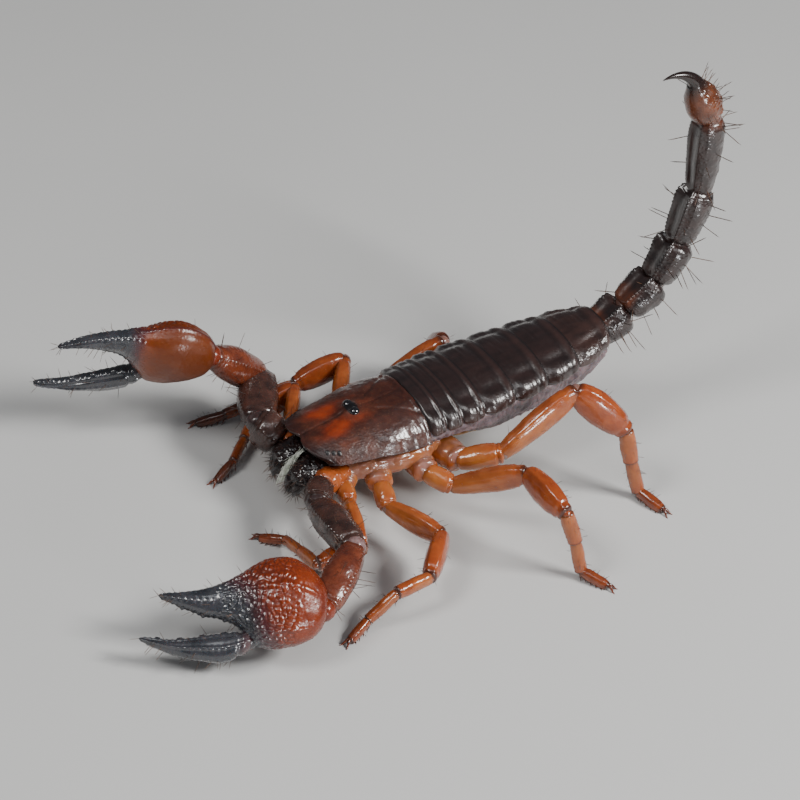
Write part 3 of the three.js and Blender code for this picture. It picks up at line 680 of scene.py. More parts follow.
base = Mould()
for sign in (1, -1):
    for leg in LEGS:
        ahead, out, height = leg["hip"]
        root = in_body(ahead * 0.75, sign * 1.2, height - 0.1)
        way, length = between(root, in_body(ahead, sign * out, height))
        points, share, turn = link(root, way, length, leg["depth"] * 1.3, leg["depth"] * 1.15, STEM,
                                   48, 56, upright(way))
        relief = (0.05 * ripple(points, 1.1, 4) + 0.05 * pimples(points, 0.3, 5, 0.5)
                  + 0.07 * hump(share - 0.97, 0.04) - 0.08 * hump(share - 0.86, 0.04))
        above = np.sin(turn) * sign
        damp = step(above + 0.8 * ripple(points, 1.3, 9), 0.2, 1.1) * step(share, 0.5, 0.8)
        base.tube(raised(points, relief)[0], soft=0.8 * damp,
                  amber=1 - 0.5 * step(share, 0.9, 1.0))
    ahead, out, height = PALP_HINGE
    root = in_body(ahead - 4, sign * 2.2, height - 0.9)
    way, length = between(root, in_body(ahead, sign * out, height))
    points, _, _ = link(root, way, length, 1.5, 1.5, STEM, 60, 64)
    relief = 0.06 * ripple(points, 0.9, 8) + 0.08 * pimples(points, 0.36, 6, 0.55)
    base.tube(raised(points, relief)[0], amber=0.25)
ahead = np.linspace(-4.6, 10, 90)
half = smooth_rows(STERNUM, ahead)[:, 0][:, None]
side, lift = superoval(ring_turns(90), half, 1.8, 1.4, 1.2)
keel = grid(ahead[:, None], side, lift - 5.6)
plate_edge = np.maximum(np.abs(side) - 1.1 * step(ahead[:, None], 5.5, 3.5), 0) + 9 * (lift > 0)
keel[..., 2] -= 0.14 * step(plate_edge, 0.1, 0.0) * step(ahead[:, None], -2, -1.6)
base.tube(placed(raised(keel, 0.04 * ripple(keel, 0.8, 3))[0]), amber=0.5, soft=0.3)
ahead = np.linspace(-1.6, 10.6, 130)[:, None]
half = lerp(5.5, 3.7, step(ahead, 2, 10.6)) * (0.8 + 0.2 * step(ahead, -1.6, 0.6))
side, lift = superoval(ring_turns(130), half, 1.7, 1.5, 1.3)
web = grid(ahead, side, lift - 5.0 - 0.02 * ahead)
relief = 0.13 * np.abs(ripple(web * (0.5, 1, 1.6), 0.45, 5)) + 0.12 * ripple(web, 1.7, 6)
base.tube(placed(raised(web, relief)[0]), amber=0.85,
          soft=0.35 + 0.5 * ripple(web, 1.5, 8))

leg_finish = Finish("leg_finish", Roughness=0.22, IOR=1.5, Subsurface_Weight=0.22,
                    Subsurface_Scale=0.0009, Coat_Weight=0.6, Coat_Roughness=0.08)
leg_finish.shader.inputs["Subsurface Radius"].default_value = (1, 0.35, 0.12)
cloud = leg_finish.noise(1.3, 4)
ochre = leg_finish.ramp(cloud, (0.25, (0.27, 0.075, 0.016)), (0.75, (0.44, 0.15, 0.036)))
rust = leg_finish.ramp(cloud, (0.25, (0.2, 0.032, 0.008)), (0.75, (0.35, 0.07, 0.014)))
tone = leg_finish.blend(leg_finish.mark("amber"), rust, ochre)
dusk = leg_finish.band(leg_finish.mark("dusk") + (leg_finish.noise(0.5, 3) - 0.5) * 0.4, 0.05, 0.95)
tone = leg_finish.blend(dusk, tone, (0.055, 0.014, 0.007))
pale = leg_finish.ramp(leg_finish.noise(1.1, 4), (0.35, (0.16, 0.06, 0.034)),
                       (0.7, (0.29, 0.165, 0.15)))
tone = leg_finish.blend(leg_finish.mark("soft") - leg_finish.mark("tube"), tone, pale)
leg_finish.wear(tone, 0.13 + leg_finish.noise(0.4, 3) * 0.2,
                leg_finish.grain(0.2, smooth=0.5) * 0.7 + leg_finish.noise(0.1, 2) * 0.4, 0.02, 0.5)
base.make("leg_roots", leg_finish, "underside_cuticle", ["coxosternum"])

# ---------------------------------------------------------------------------------------------
# Pectines: a pair of comb-shaped sense organs behind the legs. Each has a flat jointed shaft and
# a row of blunt teeth of thin cuticle, hinged side by side along its rear edge.
# ---------------------------------------------------------------------------------------------
PECTINE = {"place": (-5.0, 0.9, -7.35), "length": 4.2, "teeth": 13, "tooth": 0.8, "sweep": 165,
           "shaft": ((0.0, 1.6, 0.5), (1.4, 2.9, 0.42), (2.7, 4.2, 0.32))}
PECTINE_TOOTH = [(0, 0.7, 0.8), (0.5, 1, 0.9), (1, 0.95, 0.8)]
comb_finish = Finish("pectine_finish", Roughness=0.4, Subsurface_Weight=0.2,
                     Subsurface_Scale=0.0006)
comb_finish.wear(comb_finish.ramp(comb_finish.noise(0.8, 3), (0.3, (0.3, 0.16, 0.06)),
                                  (0.7, (0.55, 0.35, 0.17))),
                 None, comb_finish.noise(0.12, 2), 0.02, 0.4)
for name, sign in BOTH_SIDES:
    comb = Mould()

    def on_comb(along, rear, up):
        local = PECTINE["place"] + spin("Z", PECTINE["sweep"]) @ np.array((along, rear, up), float)
        return in_body(*(local * (1, sign, 1)))

    def add_rod(first, last, wide, high, profile, rings, sides):
        way, length = between(first, last)
        points, _, _ = link(first, way, length, wide, high, profile, rings, sides, upright(way))
        comb.tube(points)

    for start, end, wide in PECTINE["shaft"]:
        add_rod(on_comb(start, 0.06 * start - 0.5, 0.3), on_comb(end, 0.06 * end - 0.5, 0.3),
                wide, 0.26, STEM, 20, 24)
    for tooth in range(PECTINE["teeth"]):
        along = (tooth + 0.5) * PECTINE["length"] / PECTINE["teeth"]
        reach = PECTINE["tooth"] * (1 - 0.45 * tooth / PECTINE["teeth"])
        add_rod(on_comb(along, -0.25, 0.28), on_comb(along - 0.08, reach, 0.24),
                0.17, 0.22, PECTINE_TOOTH, 10, 12)
    comb.make(f"comb_{name}", comb_finish, "pectine_cuticle", [f"pectine_{name}"])

# ---------------------------------------------------------------------------------------------
# Chelicerae: two short stout jaws of black cuticle under the front of the carapace. Each ends in
# a fixed and a movable toothed finger.
# ---------------------------------------------------------------------------------------------
JAW = {"rear": (8.8, 1.75, -4.2), "front": (14.2, 1.8, -4.7), "wide": 1.6, "high": 1.5}
JAW_BARREL = [(0, 0.85, 0.85), (0.2, 1, 1), (0.55, 1.02, 1.0), (0.8, 0.95, 0.9), (1, 0.72, 0.7)]
JAW_FINGERS = (((13.0, 1.3, -4.5), (14.6, 1.3, -4.8), (14.5, 1.5, -6.2), 0.85),
               ((12.9, 2.3, -4.8), (14.3, 2.5, -5.2), (14.2, 2.0, -6.6), 0.8))
jaw_finish = Finish("jaw_finish", Roughness=0.25, IOR=1.52, Coat_Weight=0.5, Coat_Roughness=0.08)
tone = jaw_finish.ramp(jaw_finish.noise(0.7, 4), (0.4, (0.0045, 0.003, 0.0035)),
                       (0.85, (0.022, 0.009, 0.008)))
tone = jaw_finish.blend(jaw_finish.mark("amber") * 0.25, tone, (0.1, 0.03, 0.013))
jaw_finish.wear(tone, 0.16 + jaw_finish.noise(0.3, 3) * 0.2,
                jaw_finish.grain(0.24, smooth=0.4) + jaw_finish.noise(0.1, 2) * 0.4, 0.04, 0.7)
bristles = {}


def grow(group, points, face, tile, number, length, thick, seed, where, lean=(0, 0, 0)):
    """Chooses places for stiff hairs on a skin: root, way it points, size, place on the unwrap."""
    chooser = np.random.default_rng(seed)
    rings, sides = points.shape[:2]
    odds = np.broadcast_to(where, (rings, sides))
    odds = odds.ravel() / odds.sum()
    picked = chooser.choice(rings * sides, number, False, odds)
    ring, around = picked // sides, picked % sides
    way = unit(face[ring, around] + np.array(lean) + chooser.normal(0, 0.22, (number, 3)))
    size = length * chooser.uniform(0.55, 1.15, (number, 1))
    spot = np.stack([(tile % 8 + 0.05 + 0.9 * around / sides) / 8,
                     (tile // 8 + 0.05 + 0.9 * ring / rings) / 8], axis=1)
    bristles.setdefault(group, []).append(
        (points[ring, around] - face[ring, around] * 0.03, way, size,
         np.full((number, 1), thick), spot))


def rings_round(path, side, up, wide, high, turn):
    return (path[:, None] + side[:, None] * (wide * np.cos(turn))[..., None]
            + up[:, None] * (high * np.sin(turn))[..., None])


for name, sign in BOTH_SIDES:
    jaw = Mould()

    def at_jaw(ahead, out, height):
        return in_body(ahead, sign * out, height)

    rear = at_jaw(*JAW["rear"])
    way, length = between(rear, at_jaw(*JAW["front"]))
    points, share, turn = link(rear, way, length, JAW["wide"], JAW["high"], JAW_BARREL, 110, 120,
                               upright(way), 0.9)
    near, second = grains(points, 0.5, 4)
    relief = (0.07 * ripple(points, 1.0, 2) + 0.04 * step(second - near, 0, 0.5)
              + 0.12 * hump(share - 0.93, 0.04) * (1 + 0.5 * np.sin(turn * 9))
              + 0.04 * pimples(points, 0.26, 3, 0.5))
    face = outward(points)
    jaw.tube(points + face * relief[..., None], amber=0.2 * step(second - near, 0.3, 0.0))
    grow("jaw", points, face, 40 + (sign < 0), 34, 0.5, 0.028, 57 + sign,
         step(share, 0.5, 0.8) + 0 * turn, FORWARD * 0.9 - BACK_UP * 0.3)
    for index, (*places, thick) in enumerate(JAW_FINGERS):
        start, mid, end = (at_jaw(*place) for place in places)
        rows = np.linspace(0, 1, 44)[:, None]
        path = start * (1 - rows) ** 2 + 2 * mid * rows * (1 - rows) + end * rows ** 2
        turn = ring_turns(36)
        radius = thick * (1 - 0.85 * rows ** 1.6) * np.sqrt(np.clip(rows / 0.12, 0.02, 1))
        radius = radius * (1 + 0.45 * np.clip(np.sin(6 * np.pi * rows), 0, 1)
                           * hump(turn - 1.5 * np.pi, 0.8) * step(rows, 0.1, 0.3))
        points = rings_round(path, *upright(unit(np.gradient(path, axis=0))), radius, radius, turn)
        jaw.tube(points, amber=0.3 * step(rows, 0.5, 0.0))
        grow("jaw", points, outward(points), 42 + index + 2 * (sign < 0), 34, 0.75, 0.028,
             60 + sign + index, step(rows, 0.1, 0.3) + 0 * turn, -BACK_UP * 0.6)
    jaw.make(f"jaw_{name}", jaw_finish, "chelicera_cuticle", [f"chelicera_{name}"])

# ---------------------------------------------------------------------------------------------
# Tail: five hard barrels, each with rows of granules along its edges and a furrow on top, hinged
# end to end with a ring of soft skin in every joint.
# ---------------------------------------------------------------------------------------------
# Length, half width, half height, slope and share of amber of each barrel
TAIL = [(4.1, 2.3, 1.9, 34, 0.6), (4.5, 2.15, 1.85, 40, 0.5), (5.0, 2.0, 1.85, 66, 0.22),
        (6.3, 1.82, 1.8, 78, 0.1), (8.8, 1.68, 1.68, 94, 0.05)]
TAIL_KEELS = ((31, 1.0), (60, 0.5), (118, 0.2), (140, 0.25), (163, 0.3))
BARREL_TAIL = [(-0.06, 0.64, 0.64), (0.04, 0.8, 0.82), (0.22, 0.94, 0.95), (0.5, 1.02, 1.02),
               (0.7, 1.05, 1.06), (0.86, 1.0, 1.02), (0.96, 0.87, 0.9), (1.03, 0.68, 0.7)]
BACKSIDE = 180
tail_finish = Finish("tail_finish", Roughness=0.25, IOR=1.58, Coat_Weight=0.8, Coat_Roughness=0.2)
cloud = tail_finish.noise(1.2, 4)
tone = tail_finish.ramp(cloud, (0.3, (0.009, 0.004, 0.0038)), (0.75, (0.028, 0.0115, 0.0095)))
warm = tail_finish.band(tail_finish.mark("amber") + (cloud - 0.5) * 0.4, 0.1, 0.9)
tone = tail_finish.blend(warm, tone, (0.17, 0.038, 0.008))
tone = tail_finish.blend(tail_finish.mark("keel") * 0.5, tone, (0.007, 0.005, 0.005))
tone = tail_finish.blend(tail_finish.mark("soft"), tone, (0.1, 0.045, 0.034))
tail_finish.wear(tone, 0.26 + tail_finish.noise(0.35, 3) * 0.2,
                 tail_finish.grain(0.2, smooth=0.5) * 0.8 + tail_finish.noise(0.09, 2) * 0.3,
                 0.015, 0.5)


def ball_skin(mould, centre, way, radius, **marks):
    side = unit(np.cross(way, UP + 0.01 * FORWARD))
    points = ball(centre, (way, side, np.cross(way, side)), (radius,) * 3, 26, 36)
    mould.tube(raised(points, 0.05 * ripple(points, 0.35, 5))[0], soft=1.0, **marks)


def from_top(turn):
    """Degrees between a place on a ring and the ring's top."""
    return np.degrees(np.arccos(np.clip(np.sin(turn), -1, 1)))


joint = in_body(-TRUNK_LENGTH, 0, -2.5)
for index, (length, half, high, slope, warmth) in enumerate(TAIL):
    way = direction(BACKSIDE, slope)
    dorsal = unit(np.cross(LEFT, way))
    side = np.cross(dorsal, way)
    points, share, turn = link(joint, way, length, half, high, BARREL_TAIL, 130, 132,
                               (side, dorsal), 0.45)
    around = from_top(turn)
    body_part = step(share, 0.03, 0.12) * step(share, 1.03, 0.95)
    keel = 0
    for angle, weight in TAIL_KEELS:
        beads = 0.62 + 0.38 * np.cos(2 * np.pi * (share * length / 0.42 + angle / 50))
        rise = 1 + (0.8 if angle < 90 else 0.2) * step(share, 0.5, 0.92)
        if index == 4 and angle == 31:
            rise = rise * 0.35
        keel = keel + weight * rise * beads * hump(around - angle, 4.5)
    keel = keel * body_part
    crest = hump(around - 31, 8) * body_part * (0.5 + 0.9 * step(share, 0.45, 0.9))
    relief = (0.08 * keel + 0.12 * crest * (1 - 0.6 * (index == 4))
              - 0.3 * hump(around, 16) * body_part
              + 0.18 * hump(around - 84, 30) * hump(share - 0.56, 0.4)
              + 0.05 * hump(share - 0.985, 0.02) - 0.06 * hump(share - 0.95, 0.02)
              + 0.05 * ripple(points, 1.5, index)
              + 0.035 * pimples(points, 0.36, index, 0.5) * body_part * (0.3 + step(around, 20, 40))
              + 0.07 * ripple(points, 0.8, index + 9) * step(around, 30, 60))
    points, face = raised(points, relief)
    barrel = Mould()
    amber = (warmth * step(share, 0.75, 0.15) * step(around, 75, 30)
             + (index == 4) * 0.3 * step(share, 0.75, 1.0) + 0.2 * hump(share - 1.0, 0.05))
    barrel.tube(points, amber=amber, keel=np.clip(keel, 0, 1))
    ball_skin(barrel, joint + way * 0.1, way, high * 0.66)
    barrel.make(f"tail_barrel_{index + 1}", tail_finish, "tail_cuticle",
                [f"metasoma_{index + 1}"])
    grow("tail", points, face, index, 13 if index < 4 else 22, 2.2, 0.045, 30 + index,
         body_part * (0.15 + hump(around - 60, 12) + hump(around - 120, 25)))
    joint = joint + way * length

# ---------------------------------------------------------------------------------------------
# Sting: a swollen bulb that holds the venom and, drawn out of it in one piece, a curved hollow
# needle of dark hard cuticle.
# ---------------------------------------------------------------------------------------------
VESICLE = {"length": 5.6, "half": 1.85, "high": 1.9, "slope": 120}
ACULEUS = {"length": 4.6, "half": 0.8, "slope": 132, "bend": 70}
BULB = [(0, 0.5, 0.48), (0.1, 0.78, 0.76), (0.35, 1, 1), (0.65, 0.9, 0.9), (0.88, 0.6, 0.6),
        (1, 0.46, 0.45), (1.02, 0.43, 0.42)]
way = direction(BACKSIDE, VESICLE["slope"])
share = np.linspace(0.0, 1, 90)
centres = joint + way * (share * VESICLE["length"])[:, None]
sizes = smooth_rows(BULB, share) * (VESICLE["half"], VESICLE["high"])
sizes *= np.sqrt(np.clip(share / 0.08, 0.05, 1))[:, None]
ways = np.repeat(way[None], len(share), axis=0)
spot, needle_steps = centres[-1] + way * 0.16, 60
for bend in np.linspace(0, 1, needle_steps):
    way = direction(BACKSIDE, ACULEUS["slope"] + ACULEUS["bend"] * bend)
    radius = lerp(ACULEUS["half"], 0.05, bend ** 0.9) * np.sqrt(1 - bend ** 30 * 0.97)
    centres = np.concatenate([centres, spot[None]])
    ways = np.concatenate([ways, way[None]])
    sizes = np.concatenate([sizes, [[radius, radius]]])
    spot = spot + way * ACULEUS["length"] / needle_steps
dorsal = unit(np.cross(LEFT, ways))
sides = np.cross(dorsal, ways)
turn = ring_turns(110)
points = rings_round(centres, sides, dorsal, sizes[:, :1], sizes[:, 1:], turn)
share = np.linspace(0, 1, len(centres))[:, None]
on_bulb = step(share, 0.62, 0.5) * step(share, 0.02, 0.1)
around = from_top(turn)
relief = on_bulb * (0.1 * pimples(points, 0.55, 3, 0.5) * step(around, 60, 110)
                    + 0.05 * ripple(points, 1.0, 4)
                    - 0.08 * hump(around - 150, 9) - 0.07 * hump(around - 110, 8)
                    - 0.06 * hump(around - 180, 6))
points, face = raised(points, relief)
sting = Mould()
sting.tube(points, amber=step(share, 0.62, 0.4) * 0.75)
ball_skin(sting, joint, direction(BACKSIDE, 110), 1.25)
sting_finish = Finish("sting_finish", Roughness=0.22, IOR=1.52, Coat_Weight=0.5,
                      Coat_Roughness=0.08, Subsurface_Weight=0.08, Subsurface_Scale=0.0006)
cloud = sting_finish.noise(1.1, 4)
tone = sting_finish.ramp(cloud, (0.3, (0.09, 0.024, 0.01)), (0.75, (0.22, 0.062, 0.02)))
tone = sting_finish.blend(sting_finish.mark("amber"), (0.012, 0.005, 0.004), tone)
tone = sting_finish.blend(sting_finish.mark("soft"), tone, (0.1, 0.045, 0.034))
sting_finish.wear(tone, 0.18 + sting_finish.noise(0.3, 3) * 0.16,
                  sting_finish.grain(0.22, smooth=0.5), 0.02, 0.5)
sting.make("sting_bulb_and_needle", sting_finish, "sting_cuticle", ["vesicle", "aculeus"])
grow("tail", points, face, 5, 26, 1.5, 0.035, 41, on_bulb * step(around, 40, 100) + 1e-6)

# ---------------------------------------------------------------------------------------------
# Legs: eight chains of hard tubes, thigh and knee pieces flattened and keeled, with soft skin in
# the joints. Each foot has stout spines below and two hooked claws, and stands on its sole.
# ---------------------------------------------------------------------------------------------
# Heading and slope of the first five pieces of each leg, then the heading of the last tarsus
STANCE = {
    "left": [
        [(75, -8), (74, -12), (0, -2), (-92, -16), (-92, -18), -50],
        [(80, -22), (110, 4), (47, -4), (6, -4), (0, -40), 22],
        [(130, -14), (133, 29), (96, -4), (155, -68), (150, -73), 125],
        [(152, 17), (179, 36), (146, -36), (150, -74), (150, -70), 111],
    ],
    "right": [
        [(82, -10), (124, 12), (0, -31), (-42, -9), (-42, -9), -23],
        [(149, -3), (125, 16), (3, -18), (11, -20), (11, -22), 15],
        [(150, 20), (179, 25), (110, -50), (160, -25), (160, -18), 160],
        [(165, -5), (175, 12), (150, -38), (175, -8), (178, -6), 178],
    ],
}
SOLE_SHARE = 0.22
THIGH = [(-0.05, 0.7, 0.6), (0.1, 0.85, 0.8), (0.3, 1, 0.96), (0.75, 1, 1.05), (0.93, 0.88, 0.86),
         (1.03, 0.72, 0.68)]
SHIN = [(-0.05, 0.68, 0.62), (0.1, 0.86, 0.92), (0.3, 1, 1.12), (0.75, 0.97, 1),
        (0.93, 0.78, 0.74), (1.03, 0.62, 0.58)]
SHANK = [(-0.06, 0.84, 0.84), (0.12, 0.95, 0.94), (0.4, 1, 1.02), (0.8, 0.97, 0.98),
         (0.95, 0.92, 0.93), (1.05, 0.84, 0.84)]
TOE = [(-0.05, 0.8, 0.8), (0.4, 1, 1), (0.85, 0.92, 0.9), (1.04, 0.75, 0.75)]
# Trochanter, femur, patella, tibia and two tarsi: half width and half height for a leg of depth 1,
# outline, darkness, share of amber, then number and length of the hairs
LIMB = [(0.95, 0.98, STEM, 0.0, 1.0, 0, 0), (0.76, 1.1, THIGH, 0.05, 0.7, 8, 0.75),
        (0.9, 1.24, SHIN, 0.1, 0.12, 8, 0.7), (0.58, 0.7, SHANK, 0.1, 0.6, 9, 0.6),
        (0.5, 0.58, SHANK, 0.2, 0.6, 10, 0.55), (0.48, 0.53, TOE, 0.45, 0.1, 9, 0.45)]


def spike(mould, root, way, length, thick, sag=0.0, sides=10, rings=9, **marks):
    """A curved horn or spine, thick at its root."""
    rows = np.linspace(0, 1, rings)[:, None]
    drop = np.array((0, 0, -1.0)) * sag
    path = root + way * length * rows + drop * rows ** 2
    ways = unit(np.gradient(path, axis=0))
    side = unit(np.cross(ways, UP + 0.013))
    radius = thick * (1 - 0.93 * rows ** 1.4)
    points = rings_round(path, side, np.cross(ways, side), radius, radius, ring_turns(sides))
    points[..., 2] = np.maximum(points[..., 2], 0)
    mould.tube(points, **marks)


def follow(start, sign, lengths, links):
    joints, steps = [start], [direction(sign * heading, slope) for heading, slope in links]
    for way, length in zip(steps, lengths):
        joints.append(joints[-1] + way * length)
    return joints, steps


for name, sign in BOTH_SIDES:
    for index, (leg, stance) in enumerate(zip(LEGS, STANCE[name])):
        ahead, out, height = leg["hip"]
        depth, lengths = leg["depth"], leg["lengths"]
        joints, steps = follow(in_body(ahead, sign * out, height), sign, lengths, stance[:5])
        fall = np.degrees(np.arcsin((joints[5][2] - SOLE_SHARE * depth) / lengths[5]))
        steps.append(direction(sign * stance[5], -fall))
        limb = Mould()
        for piece, (wide, deep, profile, gloom, warmth, hairs, hair) in enumerate(LIMB):
            way, length = steps[piece], lengths[piece]
            big = piece < 4
            points, share, turn = link(joints[piece], way, length, wide * depth, deep * depth,
                                       profile, 56 if big else 40, 56 if big else 40)
            above = from_top(turn)
            shaft = step(share, 0.02, 0.14) * step(share, 1.0, 0.88)
            grainy = 0.35 + 0.65 * (hump(above - 26, 9) + hump(above - 160, 14))
            keel = (0.035 * hump(above - 30, 8) - 0.02 * hump(above - 8, 12)) * (piece in (1, 2))
            relief = depth * (
                0.028 * ripple(points, 0.9, 7 * index + piece) + keel * shaft
                + 0.045 * pimples(points, 0.24, piece, 0.5) * grainy * shaft
                + 0.05 * hump(share - 0.985, 0.025) - 0.07 * hump(share - 0.9, 0.03) * (piece < 3))
            points, face = raised(points, relief)
            points[..., 2] = np.maximum(points[..., 2], 0)
            ends = (0.8 * hump(share - 1.0, 0.045) + 0.55 * hump(share + 0.02, 0.04)) * (piece > 0)
            # Darker tarsi and dark joint ends are the cuticle's own colour; the extra 0.3 on the
            # right-side legs is painted shade for the far side of the body.
            dusk = gloom + ends + 0.3 * (sign < 0)
            amber = warmth * (1 - 0.55 * step(share, 0.3, 1.0)) * (1 - 0.5 * hump(above, 35))
            limb.tube(points, dusk=np.clip(dusk, 0, 1), amber=amber)
            if piece:
                ball_skin(limb, joints[piece], steps[piece - 1],
                          depth * (0.78 if piece < 3 else 0.76) * min(wide, LIMB[piece - 1][0]),
                          dusk=0.0 if piece < 3 else 0.35, tube=1.0 * (piece > 2))
            if piece in (3, 4):
                for lean in (-1, 1):
                    side = unit(np.cross(UP, way))
                    root = joints[piece + 1] - way * 0.2 + side * 0.2 * lean * depth
                    spike(limb, root - UP * 0.25 * depth, unit(way + side * 0.5 * lean - UP * 0.6),
                          0.9 * depth, 0.13, dusk=0.9)
            if piece == 5:
                side = unit(np.cross(UP, way))
                for spine in range(4):
                    for lean in (-1, 1):
                        root = (joints[5] + way * length * (0.2 + 0.2 * spine)
                                + side * 0.3 * depth * lean - UP * 0.22 * depth)
                        spike(limb, root, unit(way * 0.6 + side * 0.6 * lean - UP * 0.5),
                              0.55, 0.1, sides=8, rings=7, dusk=0.9)
            if piece:
                grow("leg", points, face, 8 + 4 * (sign < 0) + index, hairs, hair, 0.02,
                     100 * index + piece + 7 * sign + 50,
                     (shaft + 1e-6) * (points[..., 2] > 0.7) * (face[..., 2] > -0.3),
                     way * 0.6 + (0, 0, 0.3))
        toe = joints[5] + steps[5] * lengths[5]
        heading = steps[5] * (1, 1, 0)
        heading = heading / np.linalg.norm(heading)
        beside = np.cross(UP, heading)
        for lean in (-1, 1):
            spread = heading * np.cos(0.42) + beside * np.sin(0.42) * lean
            rows = np.linspace(0, 1, 16)[:, None]
            rise = 0.3 * np.sin(np.pi * np.clip(rows * 1.25, 0, 1)) + 0.24 - 0.2 * rows
            path = toe * (1, 1, 0) + spread * (1.45 * rows - 0.35) + UP * rise
            ways = unit(np.gradient(path, axis=0))
            sides = unit(np.cross(ways, UP))
            radius = 0.23 * (1 - 0.9 * rows ** 1.3)
            points = rings_round(path, sides, np.cross(sides, ways), radius, 1.3 * radius,
                                 ring_turns(14))
            points[..., 2] = np.maximum(points[..., 2], 0)
            limb.tube(points, dusk=0.85 - 0.3 * rows)
        limb.make(f"leg_{name}_{index + 1}", leg_finish, "leg_cuticle",
                  [f"leg_{name}_{index + 1}_{part}" for part in ("femur", "patella", "foot")])

# ---------------------------------------------------------------------------------------------
# Arms: three thick keeled tubes of hard cuticle lead from the head to each claw, with a pale soft
# skin folded into the elbow.
# ---------------------------------------------------------------------------------------------
PALP_LENGTHS = (3.3, 8.3, 8.7)
PALP_POSE = {
    "left": {"links": ((53, 4), (85, 7), (41, -8)), "heading": -29, "slope": 4, "roll": 45,
             "opening": 5, "slim": 1.0, "bow": 0, "stout": (1.0, 1.0, 0.84),
             "amber": (0.05, 0.1, 0.5)},
    "right": {"links": ((56, 25), (121, -4), (-9, 38)), "heading": 17, "slope": 9, "roll": 75,
              "opening": 17, "slim": 0.9, "bow": 1.4, "stout": (1.35, 1.2, 0.95),
              "amber": (0.05, 0.16, 0.55)},
}
# Name, half width, half height, outline, size of the grains, number and length of the hairs
ARM = (("trochanter", 1.5, 1.55, STEM, 0.55, 8, 0.8), ("femur", 1.75, 1.5, THIGH, 0.55, 22, 1.2),
       ("patella", 1.95, 1.75, SHIN, 0.5, 26, 1.5))
ARM_KEELS = ((-62, 1.0), (0, 0.35), (52, 1.0), (105, 0.5), (150, 0.8), (205, 0.8))
arm_finish = Finish("arm_finish", Roughness=0.25, IOR=1.5, Coat_Weight=0.4, Coat_Roughness=0.1,
                    Subsurface_Weight=0.06, Subsurface_Scale=0.0006)
cloud = arm_finish.noise(1.4, 4)
tone = arm_finish.ramp(cloud, (0.3, (0.024, 0.012, 0.0105)), (0.75, (0.075, 0.032, 0.024)))
rust = arm_finish.ramp(cloud, (0.3, (0.15, 0.023, 0.007)), (0.75, (0.25, 0.047, 0.01)))
tone = arm_finish.blend(arm_finish.band(arm_finish.mark("amber") + (cloud - 0.5) * 0.25, 0.1, 0.9),
                        tone, rust)
pale = arm_finish.ramp(arm_finish.noise(0.5, 3), (0.3, (0.1, 0.048, 0.042)),
                       (0.7, (0.26, 0.17, 0.17)))
tone = arm_finish.blend(arm_finish.mark("soft"), tone, pale)
tone = arm_finish.blend(arm_finish.mark("dusk"), tone, (0.012, 0.006, 0.006))
arm_finish.wear(tone, 0.18 + arm_finish.noise(0.35, 3) * 0.2,
                arm_finish.grain(0.25, smooth=0.5) * 0.8 + arm_finish.noise(0.1, 2) * 0.3,
                0.016, 0.5)
wrists = {}
for name, sign in BOTH_SIDES:
    pose = PALP_POSE[name]
    ahead, out, height = PALP_HINGE
    joints, steps = follow(in_body(ahead, sign * out, height), sign, PALP_LENGTHS, pose["links"])
    wrists[name] = joints[3]
    for piece, (part, wide, deep, profile, grain, hairs, hair) in enumerate(ARM):
        way, length = steps[piece], PALP_LENGTHS[piece]
        stout = pose["stout"][piece]
        points, share, turn = link(joints[piece], way, length, wide * stout, deep * stout, profile,
                                   130, 140)
        above = np.degrees(turn) - 90
        shaft = step(share, 0.03, 0.14) * step(share, 0.99, 0.9)
        ridge = 0
        for angle, weight in ARM_KEELS:
            gap = (above - angle + 180) % 360 - 180
            beads = 0.6 + 0.4 * np.cos(2 * np.pi * share * length / 0.5 + angle)
            ridge = ridge + weight * beads * hump(gap, 6)
        ridge = ridge * shaft
        near, second = grains(points, grain, piece)
        relief = (0.1 * ridge + 0.12 * ripple(points, 1.8, piece + 3 * sign)
                  + 0.02 * step(second - near, 0, 0.5) * shaft - 0.06
                  + 0.12 * hump(share - 0.985, 0.02) - 0.14 * hump(share - 0.915, 0.025)
                  - 0.08 * hump(share - 0.06, 0.03))
        points, face = raised(points, relief)
        arm = Mould()
        ends = 0.6 * hump(share - 1.0, 0.05) + 0.5 * hump(share, 0.06)
        arm.tube(points, amber=pose["amber"][piece], dusk=np.clip(0.35 * ridge + ends, 0, 0.9))
        if piece:
            ball_skin(arm, joints[piece] - way * 0.1, steps[piece - 1],
                      0.76 * min(wide, deep, *ARM[piece - 1][1:3]), dusk=0.85 * (piece == 1))
        arm.make(f"arm_{name}_{part}", arm_finish, "arm_cuticle",
                 [f"pedipalp_{name}_{part}"])
        grow("claw", points, face, 20 + 4 * (sign < 0) + piece, hairs, hair, 0.03,
             300 + piece + 10 * sign, shaft + 1e-6)

# ---------------------------------------------------------------------------------------------
# Claws: a swollen hand of hard cuticle drawn out into a fixed finger, with a second one hinged
# at its corner. Its outer face is paved with rounded granules, and both fingers have blunt teeth.
# ---------------------------------------------------------------------------------------------
# Reach, inner edge, outer edge and half thickness along the hand and along the finger
MANUS = np.array([
    (-0.5, -1.0, 1.1, 1.1), (0.3, -2.4, 2.4, 1.9), (1.6, -3.7, 3.5, 2.5), (3.4, -4.5, 4.2, 2.8),
    (5.2, -4.4, 4.45, 2.75), (6.6, -3.8, 4.1, 2.4), (7.6, -3.0, 3.0, 1.8), (9.2, -1.9, 2.2, 1.25),
    (11.4, -0.8, 2.0, 1.0), (13.8, -0.1, 1.4, 0.75), (15.9, 0.3, 0.8, 0.35)])
MOVABLE_FINGER = np.array([
    (-0.5, -0.9, 0.7, 0.9), (0.5, -0.9, 1.5, 1.25), (2.3, -0.6, 2.3, 1.15), (4.6, -0.2, 2.2, 1.0),
    (6.8, 0.2, 1.8, 0.8), (8.8, 0.2, 1.1, 0.6), (10.4, 0.0, 0.45, 0.32)])
